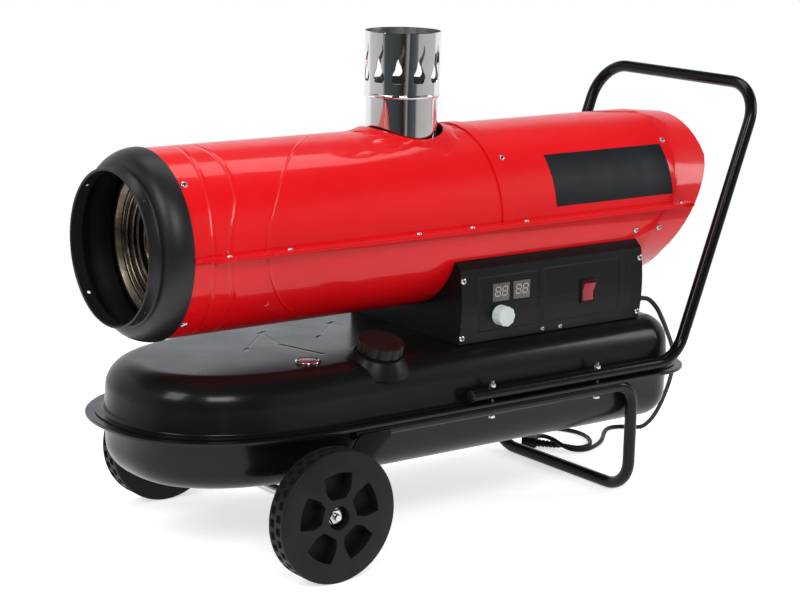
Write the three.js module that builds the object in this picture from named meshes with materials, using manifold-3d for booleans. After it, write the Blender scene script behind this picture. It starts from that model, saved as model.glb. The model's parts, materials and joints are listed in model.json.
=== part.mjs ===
// Forced air heater: an oil burner, heat exchanger and fan in a round duct with a flue, carried by a
// control cabinet on a flanged fuel tank, with two wheels, a rear leg and a push handle.
// Millimetres. +X runs from the hot air outlet to the handle, -Y is the side of the controls, +Z is up.
// The origin lies on the floor, under the middle of the heater without its cord.

import * as THREE from "three";
import { mergeVertices } from "three/addons/utils/BufferGeometryUtils.js";
import Module from "manifold-3d";

const wasm = await Module();
wasm.setup();

// ---------------------------------------------------------------- driving dimensions
const SEAT_GAP = 0.3; // between two faces that rest on each other
const RUNNING_GAP = 0.06; // around a shaft that turns

// fuel tank
const SEAM_Z = 213; // height of the joint between the two shells
const TANK_SHEET = 2;
const FLANGE_HALF_WIDTH = 207;
const FLANGE_WIDTH = 27;
const FLANGE_LEDGE = 14; // how far the upper flange plate stays inside the lower one
const RIM_DROP = 3; // turned-down rim of the lower flange plate
const RIM_WIDTH = 2.3;
const NOSE_START_X = -281;
const NOSE_LENGTH = 290;
const NOSE_EXPONENT = 2.4;
const TANK_REAR_X = 450;
const TANK_CORNER_RADIUS = 85;
const TANK_TOP_Z = 295;
const TANK_BOTTOM_Z = 124;
const SHOULDER_RADIUS = 45;
const WALL_DRAFT = 2;

// filler, gauge, drain and pickup
const FILLER = { x: -176, y: -140, z: 304, tilt: THREE.MathUtils.degToRad(16) };
const NECK_RADIUS = 28;
const NECK_WALL = 2;
const NECK_DEPTH = 34;
const BOSS_RADIUS = 37;
const BOSS_FOOT_RADIUS = 50;
const BOSS_DEPTH = 22;
const CAP_RADIUS = 36;
const CAP_HEIGHT = 17;
const CAP_SIDES = 10;
const GAUGE = { x: -284, y: -107, radius: 16, bezel: 19.5 };
const PICKUP_X = 200;
const PICKUP_RADIUS = 4;
const FILTER_RADIUS = 14;
const DRAIN_X = 300;
const DRAIN_RADIUS = 8;

// control cabinet
const CABINET_FRONT_X = -26;
const CABINET_REAR_X = 354;
const CABINET_SHEET = 2;
const PANEL_BULGE = 6;
const BOARD = { margin: 30, above: 22, below: 24, sheet: 2, post: 2.5, postInset: 5 };
const DISPLAY = { width: 34, height: 29, depth: 9, z: 372, leftX: 53, rightX: 95 };
const KNOB = { x: 50, z: 336.5, radius: 16, depth: 18, lobes: 9, shaft: 3 };
const SWITCH = { x: 234, z: 354, width: 25, height: 31, bezel: 3.5, depth: 20 };
const PUMP = { x: 262, length: 76, width: 52, height: 30, head: 8, coil: 11 };
const TRANSFORMER = { front: 60, rear: 128, halfWidth: 30, height: 30, terminal: 14, terminalZ: 18 };

// air duct
const DUCT_RADIUS = 141;
const DUCT_CLEARANCE = 42; // between the tank's top and the duct
const DUCT_Z = TANK_TOP_Z + DUCT_CLEARANCE + DUCT_RADIUS; // height of its axis
const DUCT_SHEET = 2;
const PANEL_Y = -DUCT_RADIUS - 4; // top and bottom edges of the control panel
const PANEL_TOP_Z = DUCT_Z - 65;
const CABINET_FAR_Y = DUCT_RADIUS + 2;
const DUCT_FRONT_X = -503;
const DUCT_SEAM_X = 59; // between the front and rear upper shells
const SEAM_LAP = 20;
const REAR_TOP_X = 521; // rear edge above the slant
const REAR_BOTTOM_X = 441; // rear edge below the slant
const SLANT_TOP = 72; // the slant's ends, measured up from the duct axis
const SLANT_BOTTOM = -93;
const TAPER_LENGTH = 75;
const TAPER = 7; // how much the radius shrinks towards the rear edge
const LIP_HALF_WIDTH = DUCT_RADIUS + 20;
const LIP_THICKNESS = 3;
const LIP_REAR_X = 456;
const LIP_STEP_X = -470; // where the lip reaches its full width
const SPIGOT_RADIUS = 115;
const SPIGOT_LENGTH = 21;
const DOME_DEPTH = 38;
const DOME_RADIUS = DUCT_RADIUS + 2.5;
const CONE_SHEET = 2;
const AIR_SPACE = 17; // between the duct and the exchanger
const EXCHANGER = { front: DUCT_FRONT_X + 17, rear: 130, inner: 76, sheet: 2 };
EXCHANGER.outer = DUCT_RADIUS - DUCT_SHEET - AIR_SPACE;
const EXCHANGER_SIDES = 28;
const CHAMBER = { front: EXCHANGER.front + 16, rear: 190, radius: 62, sheet: 2, mouth: 36 };
const TRANSFER = { x: CHAMBER.front + 70, radius: 22, sheet: 2 };
const CRADLE = { rearX: 60, thickness: 8, halfAngle: THREE.MathUtils.degToRad(50) };
CRADLE.frontX = EXCHANGER.front + 106;
const BURNER = { radius: 40, length: 50, sheet: 2 };
const FAN = { front: 290, hubRadius: 26, hubLength: 32, hubNose: 8, blades: 5, pitch: 0.55 };
FAN.tipRadius = DUCT_RADIUS - DUCT_SHEET - 15;
const BLADE = { chord: 34, halfSheet: 1, root: 5, leadCorner: 22, trailCorner: 14 };
const MOTOR = { front: 332, rear: 418, radius: 45, shaft: 6, boss: 18, shaftDepth: 42 };
const MOTOR_CLAMP = { setback: 13, length: 14, sheet: 4, foot: 28, footSheet: 3, footOverhang: 5 };
const GUARD = { x: 427, thickness: 3, rings: 3, slots: 8, bar: 4, hub: 18, rim: 6 };

// flue
const FLUE = { x: -37, radius: 56.6, sheet: 1.2, height: 294 }; // its height counts from the duct's axis
FLUE.top = DUCT_Z + FLUE.height;
const COWL_HEIGHT = 104;
const COWL_LAP = 22; // how far the cowl reaches down over the pipe
const COWL_FOOT_RADIUS = FLUE.radius + 1.8;
const COWL_TOP_RADIUS = COWL_FOOT_RADIUS + 1.6;
const FLAMES = 11;
const FLAME_SETBACK = 26; // from the cowl's foot to the foot of its flames
const COLLAR = { hole: 66, foot: 93, rise: 6 };

// tubes, axle and wheels
const TUBE_RADIUS = 10;
const TUBE_Y = 195;
const HANDLE_FOOT_X = -37;
const HANDLE_BEND_X = 395;
const HANDLE_TOP = { x: 561, z: 674 };
const HANDLE_LOWER_BEND = 60;
const HANDLE_UPPER_BEND = 65;
const LEG_FRONT_X = -262;
const LEG_BEND_X = 300;
const LEG_FLOOR = { x: 321, y: 172, flat: 0.5 }; // the lower corners; the ground bar is worn flat below
const LEG_UPPER_BEND = 42;
const LEG_LOWER_BEND = 58;
const BOLT_XS = [3, 221];
const BOLT_RADIUS = 3;
const AXLE_X = -331;
const AXLE_RADIUS = 8;
const WHEEL_RADIUS = 100;
const WHEEL_INNER_Y = 223;
const WHEEL_OUTER_Y = 261;
const HUB_RECESS = { radius: 18, depth: 16 };
const NUT = { radius: 11, height: 7, washer: 14 };
const POCKETS = { count: 5, inner: 31, outer: 67, depth: 24, halfAngle: 0.42, first: -87 };
const BRACKET = { thickness: 4, corner: 20, eye: 24, front: 14, rear: 60, height: 16 };

// cord: its route is a list of places chosen by hand, from the gland to the plug
const CORD_RADIUS = 4;
const CORD_STEPS = 66;
const GLAND = { y: -108, z: 316, length: 38, radius: 9 };
const PLUG = { x: 372, y: 139, length: 26, width: 24, height: 18, relief: 42, axisZ: 7.2 };
PLUG.heading = THREE.MathUtils.degToRad(125);

// ---------------------------------------------------------------- materials
function paint(color, roughness, metalness) {
  return new THREE.MeshStandardMaterial({ color, roughness, metalness });
}
const RED_PAINT = () => paint(0xd01018, 0.18, 0.1);
const BLACK_SATIN = () => paint(0x17181a, 0.38, 0.2);
const BLACK_PLASTIC = () => paint(0x1d1c1b, 0.6, 0);
const STAINLESS = () => paint(0xc9c6c4, 0.08, 1);
const HEATED_STEEL = () => paint(0x8b7a66, 0.35, 1);
const ZINC = () => paint(0xd0d2d3, 0.3, 1);
const BRASS = () => paint(0xb08d4a, 0.3, 1);

// ---------------------------------------------------------------- solids
// A closed geometry as a solid, whichever way round its profile ran.
function solid(geometry) {
  const bare = new THREE.BufferGeometry().setAttribute("position", geometry.getAttribute("position"));
  bare.setIndex(geometry.index);
  const merged = mergeVertices(bare, 1e-4);
  const corners = merged.index.array;
  const triangles = [];
  for (let i = 0; i < corners.length; i += 3) {
    const [a, b, c] = [corners[i], corners[i + 1], corners[i + 2]];
    if (a !== b && b !== c && c !== a) triangles.push([a, b, c]);
  }
  const build = (order) =>
    new wasm.Manifold(
      new wasm.Mesh({
        numProp: 3,
        vertProperties: new Float32Array(merged.attributes.position.array),
        triVerts: new Uint32Array(triangles.flatMap(order)),
      }),
    );
  const made = build((corner) => corner);
  return made.volume() > 0 ? made : build(([a, b, c]) => [a, c, b]);
}

function geometryOf(body) {
  const mesh = body.getMesh();
  const points = new Float32Array(mesh.numVert * 3);
  for (let i = 0; i < mesh.numVert; i++)
    for (let k = 0; k < 3; k++) points[3 * i + k] = mesh.vertProperties[mesh.numProp * i + k];
  const indexed = new THREE.BufferGeometry()
    .setAttribute("position", new THREE.BufferAttribute(points, 3))
    .setIndex([...mesh.triVerts]);
  const flat = indexed.toNonIndexed();
  flat.computeVertexNormals();
  return flat;
}

const union = (bodies) => bodies.reduce((sum, body) => sum.add(body));
const cut = (body, cutters) => cutters.reduce((rest, cutter) => rest.subtract(cutter), body);

function box(lowX, highX, lowY, highY, lowZ, highZ) {
  const geometry = new THREE.BoxGeometry(highX - lowX, highY - lowY, highZ - lowZ);
  return solid(geometry.translate((lowX + highX) / 2, (lowY + highY) / 2, (lowZ + highZ) / 2));
}

// A profile of [radius, height] pairs turned about the Z axis.
function turned(profile, sides) {
  const points = profile.map(([radius, height]) => new THREE.Vector2(radius, height));
  return solid(new THREE.LatheGeometry(points, sides).rotateX(Math.PI / 2));
}

function rod(radius, low, high, sides) {
  return turned([[0, low], [radius, low], [radius, high], [0, high]], sides);
}

function ringOf(inner, outer, low, high, sides) {
  return turned([[inner, low], [outer, low], [outer, high], [inner, high], [inner, low]], sides);
}

// Solids turned about Z, laid along another axis: their +Z end points to +X or to +Y.
const alongX = (body) => body.rotate([0, 90, 0]);
const alongY = (body) => body.rotate([-90, 0, 0]);

// A flat outline of [x, y] pairs, pulled up from one height to another.
function slab(outline, low, high) {
  const shape = new THREE.Shape(outline.map(([x, y]) => new THREE.Vector2(x, y)));
  const options = { depth: high - low, bevelEnabled: false };
  return solid(new THREE.ExtrudeGeometry(shape, options).translate(0, 0, low));
}

// An outline of [y, z] pairs, pulled along X.
function beam(outline, lowX, highX) {
  return slab(outline, lowX, highX).rotate([90, 0, 90]);
}

// An outline of [x, z] pairs, pulled along Y.
function plate(outline, lowY, highY) {
  return slab(outline, -highY, -lowY).rotate([90, 0, 0]);
}

function circle(sides, radius, start = 0) {
  const corner = (k) => start + (2 * Math.PI * k) / sides;
  return Array.from({ length: sides }, (_, k) => [
    radius * Math.cos(corner(k)),
    radius * Math.sin(corner(k)),
  ]);
}

// A bore whose flats clear a round shaft.
const boreFor = (shaft, clearance, sides) => (shaft + clearance) / Math.cos(Math.PI / sides);

// A closed skin over a stack of rings with equally many points.
function loft(rings) {
  const count = rings[0].length;
  const points = rings.flat();
  const faces = [];
  for (let level = 0; level + 1 < rings.length; level++)
    for (let k = 0; k < count; k++) {
      const here = level * count + k;
      const next = level * count + ((k + 1) % count);
      faces.push(here, next, next + count, here, next + count, here + count);
    }
  const centreOf = (ring) =>
    ring.reduce((sum, point) => sum.add(point), new THREE.Vector3()).divideScalar(count);
  const foot = points.push(centreOf(rings[0])) - 1;
  const head = points.push(centreOf(rings.at(-1))) - 1;
  const last = (rings.length - 1) * count;
  for (let k = 0; k < count; k++) {
    const next = (k + 1) % count;
    faces.push(foot, next, k, head, last + k, last + next);
  }
  return solid(new THREE.BufferGeometry().setFromPoints(points).setIndex(faces));
}

// A tube's centre line: straight runs between corners, each corner rounded to its own radius.
class BentPath extends THREE.Curve {
  constructor(corners, radii, bendSteps) {
    super();
    this.stations = [];
    this.tangents = [];
    const heading = (from, to) => to.clone().sub(from).normalize();
    const add = (point, tangent) => {
      this.stations.push(point);
      this.tangents.push(tangent);
    };
    add(corners[0], heading(corners[0], corners[1]));
    for (let i = 1; i + 1 < corners.length; i++) {
      const before = heading(corners[i - 1], corners[i]);
      const after = heading(corners[i], corners[i + 1]);
      const turn = before.angleTo(after);
      const reach = radii[i - 1] * Math.tan(turn / 2);
      const start = corners[i].clone().addScaledVector(before, -reach);
      const inward = after.clone().addScaledVector(before, -after.dot(before)).normalize();
      for (let step = 0; step <= bendSteps; step++) {
        const angle = (turn * step) / bendSteps;
        const point = start
          .clone()
          .addScaledVector(before, radii[i - 1] * Math.sin(angle))
          .addScaledVector(inward, radii[i - 1] * (1 - Math.cos(angle)));
        const tangent = before
          .clone()
          .multiplyScalar(Math.cos(angle))
          .addScaledVector(inward, Math.sin(angle));
        add(point, tangent);
      }
    }
    add(corners.at(-1), heading(corners.at(-2), corners.at(-1)));
  }
  get runs() {
    return this.stations.length - 1;
  }
  getPointAt(u) {
    return this.stations[Math.round(u * this.runs)].clone();
  }
  getTangentAt(u) {
    return this.tangents[Math.round(u * this.runs)].clone();
  }
}

function tube(path, radius, sides, steps) {
  const shape = new THREE.Shape(circle(sides, radius).map(([x, y]) => new THREE.Vector2(x, y)));
  return solid(new THREE.ExtrudeGeometry(shape, { extrudePath: path, steps, bevelEnabled: false }));
}

function bentTube(corners, radii, radius, sides) {
  const path = new BentPath(corners.map((corner) => new THREE.Vector3(...corner)), radii, 4);
  return tube(path, radius, sides, path.runs);
}

// ---------------------------------------------------------------- assembly helpers
const heater = new THREE.Group();
const duct = new THREE.Group();
duct.position.z = DUCT_Z;
heater.add(duct);

function add(group, name, body, material) {
  const mesh = new THREE.Mesh(geometryOf(body), material);
  mesh.name = name;
  group.add(mesh);
  return mesh;
}

// ---------------------------------------------------------------- fuel tank
// The tank's plan outline, moved inwards from the flange's edge: square at the rear, long and round
// in front.
function tankRing(inset, z) {
  const halfWidth = FLANGE_HALF_WIDTH - inset;
  const corner = Math.max(TANK_CORNER_RADIUS - inset, 6);
  const cornerX = TANK_REAR_X - inset - corner;
  const cornerY = halfWidth - corner;
  const cornerSteps = 4;
  const noseSteps = 18;
  const ring = [];
  for (const side of [-1, 1])
    for (let k = 0; k <= cornerSteps; k++) {
      const angle = (Math.PI / 2) * (k / cornerSteps + (side < 0 ? -1 : 0));
      const x = cornerX + corner * Math.cos(angle);
      ring.push(new THREE.Vector3(x, side * cornerY + corner * Math.sin(angle), z));
    }
  const bulge = (value) => Math.sign(value) * Math.abs(value) ** (2 / NOSE_EXPONENT);
  for (let k = 0; k <= noseSteps; k++) {
    const angle = Math.PI / 2 + (Math.PI * k) / noseSteps;
    const x = NOSE_START_X + (NOSE_LENGTH - inset) * bulge(Math.cos(angle));
    ring.push(new THREE.Vector3(x, halfWidth * bulge(Math.sin(angle)), z));
  }
  return ring;
}

// Rings of a shell's wall and rounded shoulder, from the flange to the flat end; toward is +1 up or
// -1 down.
function shoulderRings(sheet, endZ, toward, steps) {
  const foot = FLANGE_WIDTH + sheet;
  const radius = SHOULDER_RADIUS - sheet;
  const wallEnd = endZ - toward * SHOULDER_RADIUS;
  const rings = [];
  for (let k = 0; k <= steps; k++) {
    const angle = (Math.PI / 2) * (k / steps);
    const inset = foot + WALL_DRAFT + radius * (1 - Math.cos(angle));
    rings.push(tankRing(inset, wallEnd + toward * radius * Math.sin(angle)));
  }
  return rings;
}

const UPPER_PLATE_TOP = SEAM_Z + SEAT_GAP / 2 + TANK_SHEET;
const LOWER_PLATE_TOP = SEAM_Z - SEAT_GAP / 2;
const LOWER_PLATE_UNDER = LOWER_PLATE_TOP - TANK_SHEET;
const HANDLE_Z = UPPER_PLATE_TOP + SEAT_GAP + TUBE_RADIUS;
const LEG_Z = LOWER_PLATE_UNDER - SEAT_GAP - TUBE_RADIUS;

// Solids turned about Z, carried to the tilted filler: heights count from the middle of the boss's top face.
const atFiller = (body) =>
  body.rotate([THREE.MathUtils.radToDeg(FILLER.tilt), 0, 0]).translate([FILLER.x, FILLER.y, FILLER.z]);

const boltHoles = (low, high) =>
  BOLT_XS.flatMap((x) =>
    [-TUBE_Y, TUBE_Y].map((y) => rod(BOLT_RADIUS + SEAT_GAP, low, high, 8).translate([x, y, 0])),
  );

function tankUpperShell() {
  const outer = loft([
    tankRing(FLANGE_LEDGE, UPPER_PLATE_TOP - TANK_SHEET),
    tankRing(FLANGE_LEDGE, UPPER_PLATE_TOP),
    tankRing(FLANGE_WIDTH, UPPER_PLATE_TOP),
    ...shoulderRings(0, TANK_TOP_Z, 1, 4),
  ]);
  const inside = [
    tankRing(FLANGE_WIDTH + TANK_SHEET, SEAM_Z - TANK_SHEET),
    ...shoulderRings(TANK_SHEET, TANK_TOP_Z, 1, 2),
  ];
  const boss = atFiller(
    turned([[0, -BOSS_DEPTH], [BOSS_FOOT_RADIUS, -BOSS_DEPTH], [BOSS_RADIUS, 0], [0, 0]], 24),
  );
  const bore = atFiller(rod(NECK_RADIUS + SEAT_GAP, -2 * NECK_DEPTH, NECK_DEPTH, 24));
  return cut(outer.add(boss), [
    loft(inside),
    bore,
    rod(GAUGE.radius, TANK_TOP_Z - 20, TANK_TOP_Z + 20, 20).translate([GAUGE.x, GAUGE.y, 0]),
    rod(PICKUP_RADIUS + SEAT_GAP, TANK_TOP_Z - 20, TANK_TOP_Z + 20, 12).translate([PICKUP_X, 0, 0]),
    ...boltHoles(SEAM_Z - 20, SEAM_Z + 20),
  ]);
}

function tankLowerShell() {
  const rimFoot = LOWER_PLATE_UNDER - RIM_DROP;
  const outer = loft([
    ...shoulderRings(0, TANK_BOTTOM_Z, -1, 3).reverse(),
    tankRing(FLANGE_WIDTH, LOWER_PLATE_UNDER),
    tankRing(RIM_WIDTH, LOWER_PLATE_UNDER),
    tankRing(RIM_WIDTH, rimFoot),
    tankRing(0, rimFoot),
    tankRing(0, LOWER_PLATE_TOP),
  ]);
  const inside = loft([
    ...shoulderRings(TANK_SHEET, TANK_BOTTOM_Z, -1, 2).reverse(),
    tankRing(FLANGE_WIDTH + TANK_SHEET, SEAM_Z + TANK_SHEET),
  ]);
  const drain = rod(DRAIN_RADIUS + SEAT_GAP, TANK_BOTTOM_Z - 20, TANK_BOTTOM_Z + 20, 16);
  return cut(outer, [inside, drain.translate([DRAIN_X, 0, 0]), ...boltHoles(SEAM_Z - 20, SEAM_Z + 20)]);
}

const NECK_LIP = 2;
function fillerNeck() {
  const inner = NECK_RADIUS - NECK_WALL;
  const lipFoot = SEAT_GAP;
  return atFiller(
    turned(
      [
        [inner, -NECK_DEPTH],
        [NECK_RADIUS, -NECK_DEPTH],
        [NECK_RADIUS, lipFoot],
        [NECK_RADIUS + 5, lipFoot],
        [NECK_RADIUS + 5, lipFoot + NECK_LIP],
        [NECK_RADIUS - 1, lipFoot + NECK_LIP],
        [NECK_RADIUS - 1, CAP_HEIGHT - 7],
        [inner, CAP_HEIGHT - 7],
        [inner, -NECK_DEPTH],
      ],
      24,
    ),
  );
}

function fuelCap() {
  const low = SEAT_GAP + NECK_LIP + SEAT_GAP;
  const high = low + CAP_HEIGHT;
  const body = slab(circle(CAP_SIDES, CAP_RADIUS, 0.2), low, high - 2);
  const crown = slab(circle(CAP_SIDES, CAP_RADIUS - 3, 0.2), low, high);
  const flutes = circle(CAP_SIDES, CAP_RADIUS + 3, 0.2 + Math.PI / CAP_SIDES).map(([x, y]) =>
    rod(6, low - 1, high + 1, 10).translate([x, y, 0]),
  );
  return atFiller(cut(body.add(crown), [...flutes, rod(NECK_RADIUS, low - 1, CAP_HEIGHT - 6, 24)]));
}

function fuelGauge() {
  const seat = TANK_TOP_Z + SEAT_GAP;
  const stem = GAUGE.radius - SEAT_GAP;
  return turned(
    [
      [0, seat - 14],
      [stem, seat - 14],
      [stem, seat],
      [GAUGE.bezel, seat],
      [GAUGE.bezel, seat + 1.5],
      [GAUGE.bezel - 2.5, seat + 3.5],
      [GAUGE.bezel - 4, seat + 2],
      [0, seat + 2],
    ],
    20,
  ).translate([GAUGE.x, GAUGE.y, 0]);
}

function drainPlug() {
  const seat = TANK_BOTTOM_Z - SEAT_GAP;
  const shank = rod(DRAIN_RADIUS, seat, TANK_BOTTOM_Z + TANK_SHEET + 6, 16);
  return shank.add(slab(circle(6, DRAIN_RADIUS + 4), seat - 6, seat)).translate([DRAIN_X, 0, 0]);
}

function fuelPickup() {
  const foot = TANK_BOTTOM_Z + TANK_SHEET + 8;
  const top = CABINET_FLOOR_TOP + 12;
  const pumpSide = PUMP.x - PUMP.length / 2 - SEAT_GAP;
  const corners = [
    [PICKUP_X, 0, foot + 4],
    [PICKUP_X, 0, top],
    [pumpSide, 0, top],
  ];
  const nutSeat = CABINET_FLOOR_TOP + SEAT_GAP;
  return union([
    bentTube(corners, [PICKUP_RADIUS * 2], PICKUP_RADIUS, 12),
    rod(FILTER_RADIUS, foot, foot + 26, 16).translate([PICKUP_X, 0, 0]),
    rod(PICKUP_RADIUS + 2, nutSeat, nutSeat + 3, 12).translate([PICKUP_X, 0, 0]),
  ]);
}

const tank = new THREE.Group();
heater.add(tank);
const CABINET_FLOOR_TOP = TANK_TOP_Z + SEAT_GAP + CABINET_SHEET;
add(tank, "tank_lower_shell", tankLowerShell(), BLACK_SATIN());
add(tank, "tank_upper_shell", tankUpperShell(), BLACK_SATIN());
add(tank, "filler_neck", fillerNeck(), BLACK_SATIN());
add(tank, "fuel_cap", fuelCap(), BLACK_PLASTIC());
add(tank, "fuel_gauge", fuelGauge(), STAINLESS());
add(tank, "drain_plug", drainPlug(), ZINC());
add(tank, "fuel_pickup", fuelPickup(), BRASS());

// ---------------------------------------------------------------- control cabinet
// The panel's outer or inner curve in [y, z] pairs, from its foot to its top edge.
function panelCurve(offset) {
  const low = TANK_TOP_Z + SEAT_GAP;
  const steps = 8;
  return Array.from({ length: steps + 1 }, (_, k) => {
    const share = k / steps;
    const y = PANEL_Y - PANEL_BULGE * Math.sin(Math.PI * share) + offset;
    return [y, low + (PANEL_TOP_Z - low) * share];
  });
}

// Where a cabinet flange ends, just clear of the duct.
const FLANGE_REST = (() => {
  const radius = DUCT_RADIUS + SEAT_GAP;
  const angle = THREE.MathUtils.degToRad(22);
  return { y: radius * Math.cos(angle), z: DUCT_Z - radius * Math.sin(angle) };
})();

const ductBlank = (clearance, lowX, highX) =>
  alongX(rod(DUCT_RADIUS + clearance, lowX, highX, 48)).translate([0, 0, DUCT_Z]);

function cabinet() {
  const floor = TANK_TOP_Z + SEAT_GAP;
  const inner = panelCurve(CABINET_SHEET + SEAT_GAP);
  const wallOutline = [
    ...inner,
    [-FLANGE_REST.y + CABINET_SHEET, FLANGE_REST.z - CABINET_SHEET],
    [FLANGE_REST.y, FLANGE_REST.z],
    [CABINET_FAR_Y, PANEL_TOP_Z],
    [CABINET_FAR_Y, floor],
  ];
  const hollow = [
    [PANEL_Y - 40, floor + CABINET_SHEET],
    [PANEL_Y - 40, DUCT_Z],
    [FLANGE_REST.y - CABINET_SHEET, FLANGE_REST.z],
    [CABINET_FAR_Y - CABINET_SHEET, PANEL_TOP_Z - 1],
    [CABINET_FAR_Y - CABINET_SHEET, floor + CABINET_SHEET],
  ];
  const shell = beam(wallOutline, CABINET_FRONT_X, CABINET_REAR_X);
  const glandHole = alongX(rod(CORD_RADIUS + 1.2, CABINET_REAR_X - 10, CABINET_REAR_X + 10, 12));
  return cut(shell, [
    beam(hollow, CABINET_FRONT_X + CABINET_SHEET, CABINET_REAR_X - CABINET_SHEET),
    ductBlank(SEAT_GAP, CABINET_FRONT_X - 5, CABINET_REAR_X + 5),
    glandHole.translate([0, GLAND.y, GLAND.z]),
    rod(PICKUP_RADIUS + SEAT_GAP, floor - 5, floor + 10, 12).translate([PICKUP_X, 0, 0]),
  ]);
}

function controlPanel() {
  const flange = [
    [-FLANGE_REST.y, FLANGE_REST.z],
    [-FLANGE_REST.y + CABINET_SHEET * 0.4, FLANGE_REST.z - CABINET_SHEET],
  ];
  const outline = [...panelCurve(0), ...flange, ...panelCurve(CABINET_SHEET).reverse()];
  const window = (x, z, width, height) =>
    box(x - width / 2, x + width / 2, PANEL_Y - 30, PANEL_Y + 30, z - height / 2, z + height / 2);
  const shaftHole = alongY(rod(KNOB.shaft + 1, -30, 30, 12)).translate([KNOB.x, PANEL_Y, KNOB.z]);
  const clear = 2 * SEAT_GAP;
  return cut(beam(outline, CABINET_FRONT_X, CABINET_REAR_X), [
    window(DISPLAY.leftX, DISPLAY.z, DISPLAY.width + clear, DISPLAY.height + clear),
    window(DISPLAY.rightX, DISPLAY.z, DISPLAY.width + clear, DISPLAY.height + clear),
    window(SWITCH.x, SWITCH.z, SWITCH.width + 4 + clear, SWITCH.height + 4 + clear),
    shaftHole,
  ]);
}

const PANEL_FACE_Y = PANEL_Y - PANEL_BULGE; // the panel's outermost line
const BOARD_Y = PANEL_FACE_Y + CABINET_SHEET + DISPLAY.depth;

function displayModule(x) {
  const face = PANEL_FACE_Y + 0.5;
  const halfWidth = DISPLAY.width / 2;
  const halfHeight = DISPLAY.height / 2;
  const bodyBox = [x - halfWidth, x + halfWidth, face, BOARD_Y - SEAT_GAP];
  return box(...bodyBox, DISPLAY.z - halfHeight, DISPLAY.z + halfHeight);
}

function controlBoard() {
  const { margin, above, below, sheet, post, postInset } = BOARD;
  const front = DISPLAY.leftX - margin;
  const rear = DISPLAY.rightX + margin;
  const board = box(front, rear, BOARD_Y, BOARD_Y + sheet, KNOB.z - below, DISPLAY.z + above);
  const shaftHole = alongY(rod(KNOB.shaft + 1, BOARD_Y - sheet, BOARD_Y + 2 * sheet, 12));
  const postFoot = PANEL_FACE_Y + CABINET_SHEET + post;
  const posts = [front + postInset, rear - postInset].map((x) =>
    alongY(rod(post, postFoot, BOARD_Y + sheet / 2, 8)).translate([x, 0, DISPLAY.z - 6]),
  );
  return cut(union([board, ...posts]), [shaftHole.translate([KNOB.x, 0, KNOB.z])]);
}

function thermostatPot() {
  const front = BOARD_Y + BOARD.sheet + SEAT_GAP;
  const can = alongY(rod(9, front, front + 10, 20));
  const bore = alongY(rod(boreFor(KNOB.shaft, RUNNING_GAP, 12), front - 1, front + 8, 12));
  return cut(can, [bore]).translate([KNOB.x, 0, KNOB.z]);
}

function thermostatKnob() {
  const back = PANEL_FACE_Y - 1;
  const face = back - KNOB.depth;
  const lobes = circle(KNOB.lobes * 4, 1).map(([x, z], k) => {
    const radius = KNOB.radius - (k % 4 === 2 ? 1.2 : k % 4 === 0 ? 0 : 0.5);
    return [x * radius, z * radius];
  });
  const grip = plate(lobes, face, back - 4);
  const skirt = alongY(rod(KNOB.radius, back - 4, back, 28));
  const shaft = alongY(rod(KNOB.shaft, back - 4, BOARD_Y + 7, 12));
  return union([grip, skirt, shaft]).translate([KNOB.x, 0, KNOB.z]);
}

const ROCKER_PIVOT_Y = PANEL_FACE_Y + 3;
const ROCKER_PIN_RADIUS = 1.5;
function switchBezel() {
  const halfWidth = SWITCH.width / 2;
  const halfHeight = SWITCH.height / 2;
  const face = PANEL_FACE_Y - 3;
  const seat = PANEL_FACE_Y - SEAT_GAP;
  const rim = box(
    -halfWidth - SWITCH.bezel, halfWidth + SWITCH.bezel, face, seat,
    -halfHeight - SWITCH.bezel, halfHeight + SWITCH.bezel,
  );
  const wall = 2;
  const body = box(
    -halfWidth - wall, halfWidth + wall, seat - 1, seat + SWITCH.depth,
    -halfHeight - wall, halfHeight + wall,
  );
  const well = box(-halfWidth, halfWidth, face - 1, seat + 12, -halfHeight, halfHeight);
  const pinHole = alongX(rod(boreFor(ROCKER_PIN_RADIUS, 0.05, 12), -halfWidth - 5, halfWidth + 5, 12));
  const cutters = [well, pinHole.translate([0, ROCKER_PIVOT_Y, 0])];
  return cut(rim.add(body), cutters).translate([SWITCH.x, 0, SWITCH.z]);
}

// A two-position rocker: a shallow V in side view that tips about a pin across its width.
function powerRocker() {
  const halfWidth = SWITCH.width / 2 - 0.6;
  const halfHeight = SWITCH.height / 2 - 1;
  const tilt = THREE.MathUtils.radToDeg(0.14);
  const outline = [
    [-4.5, 0],
    [-7, halfHeight],
    [1, halfHeight],
    [4, 6],
    [4, -6],
    [1, -halfHeight],
    [-7, -halfHeight],
  ];
  const pin = alongX(rod(ROCKER_PIN_RADIUS, -halfWidth - 2, halfWidth + 2, 12));
  const body = beam(outline, -halfWidth, halfWidth).add(pin);
  return body.rotate([tilt, 0, 0]).translate([SWITCH.x, ROCKER_PIVOT_Y, SWITCH.z]);
}

function fuelPump() {
  const low = CABINET_FLOOR_TOP + SEAT_GAP;
  const halfLength = PUMP.length / 2;
  const halfWidth = PUMP.width / 2;
  const high = low + PUMP.height;
  const body = box(-halfLength, halfLength, -halfWidth, halfWidth, low, high - PUMP.head);
  const coil = alongX(rod(PUMP.coil, -halfLength + 14, halfLength - 14, 20));
  const outlet = rod(FUEL_LINE_RADIUS * 2, low + 4, high - 2, 12);
  return union([
    body,
    coil.translate([0, -10, high - PUMP.coil]),
    outlet.translate([FUEL_LINE_X - PUMP.x, FUEL_LINE_Y, 0]),
  ]).translate([PUMP.x, 0, 0]);
}

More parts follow.
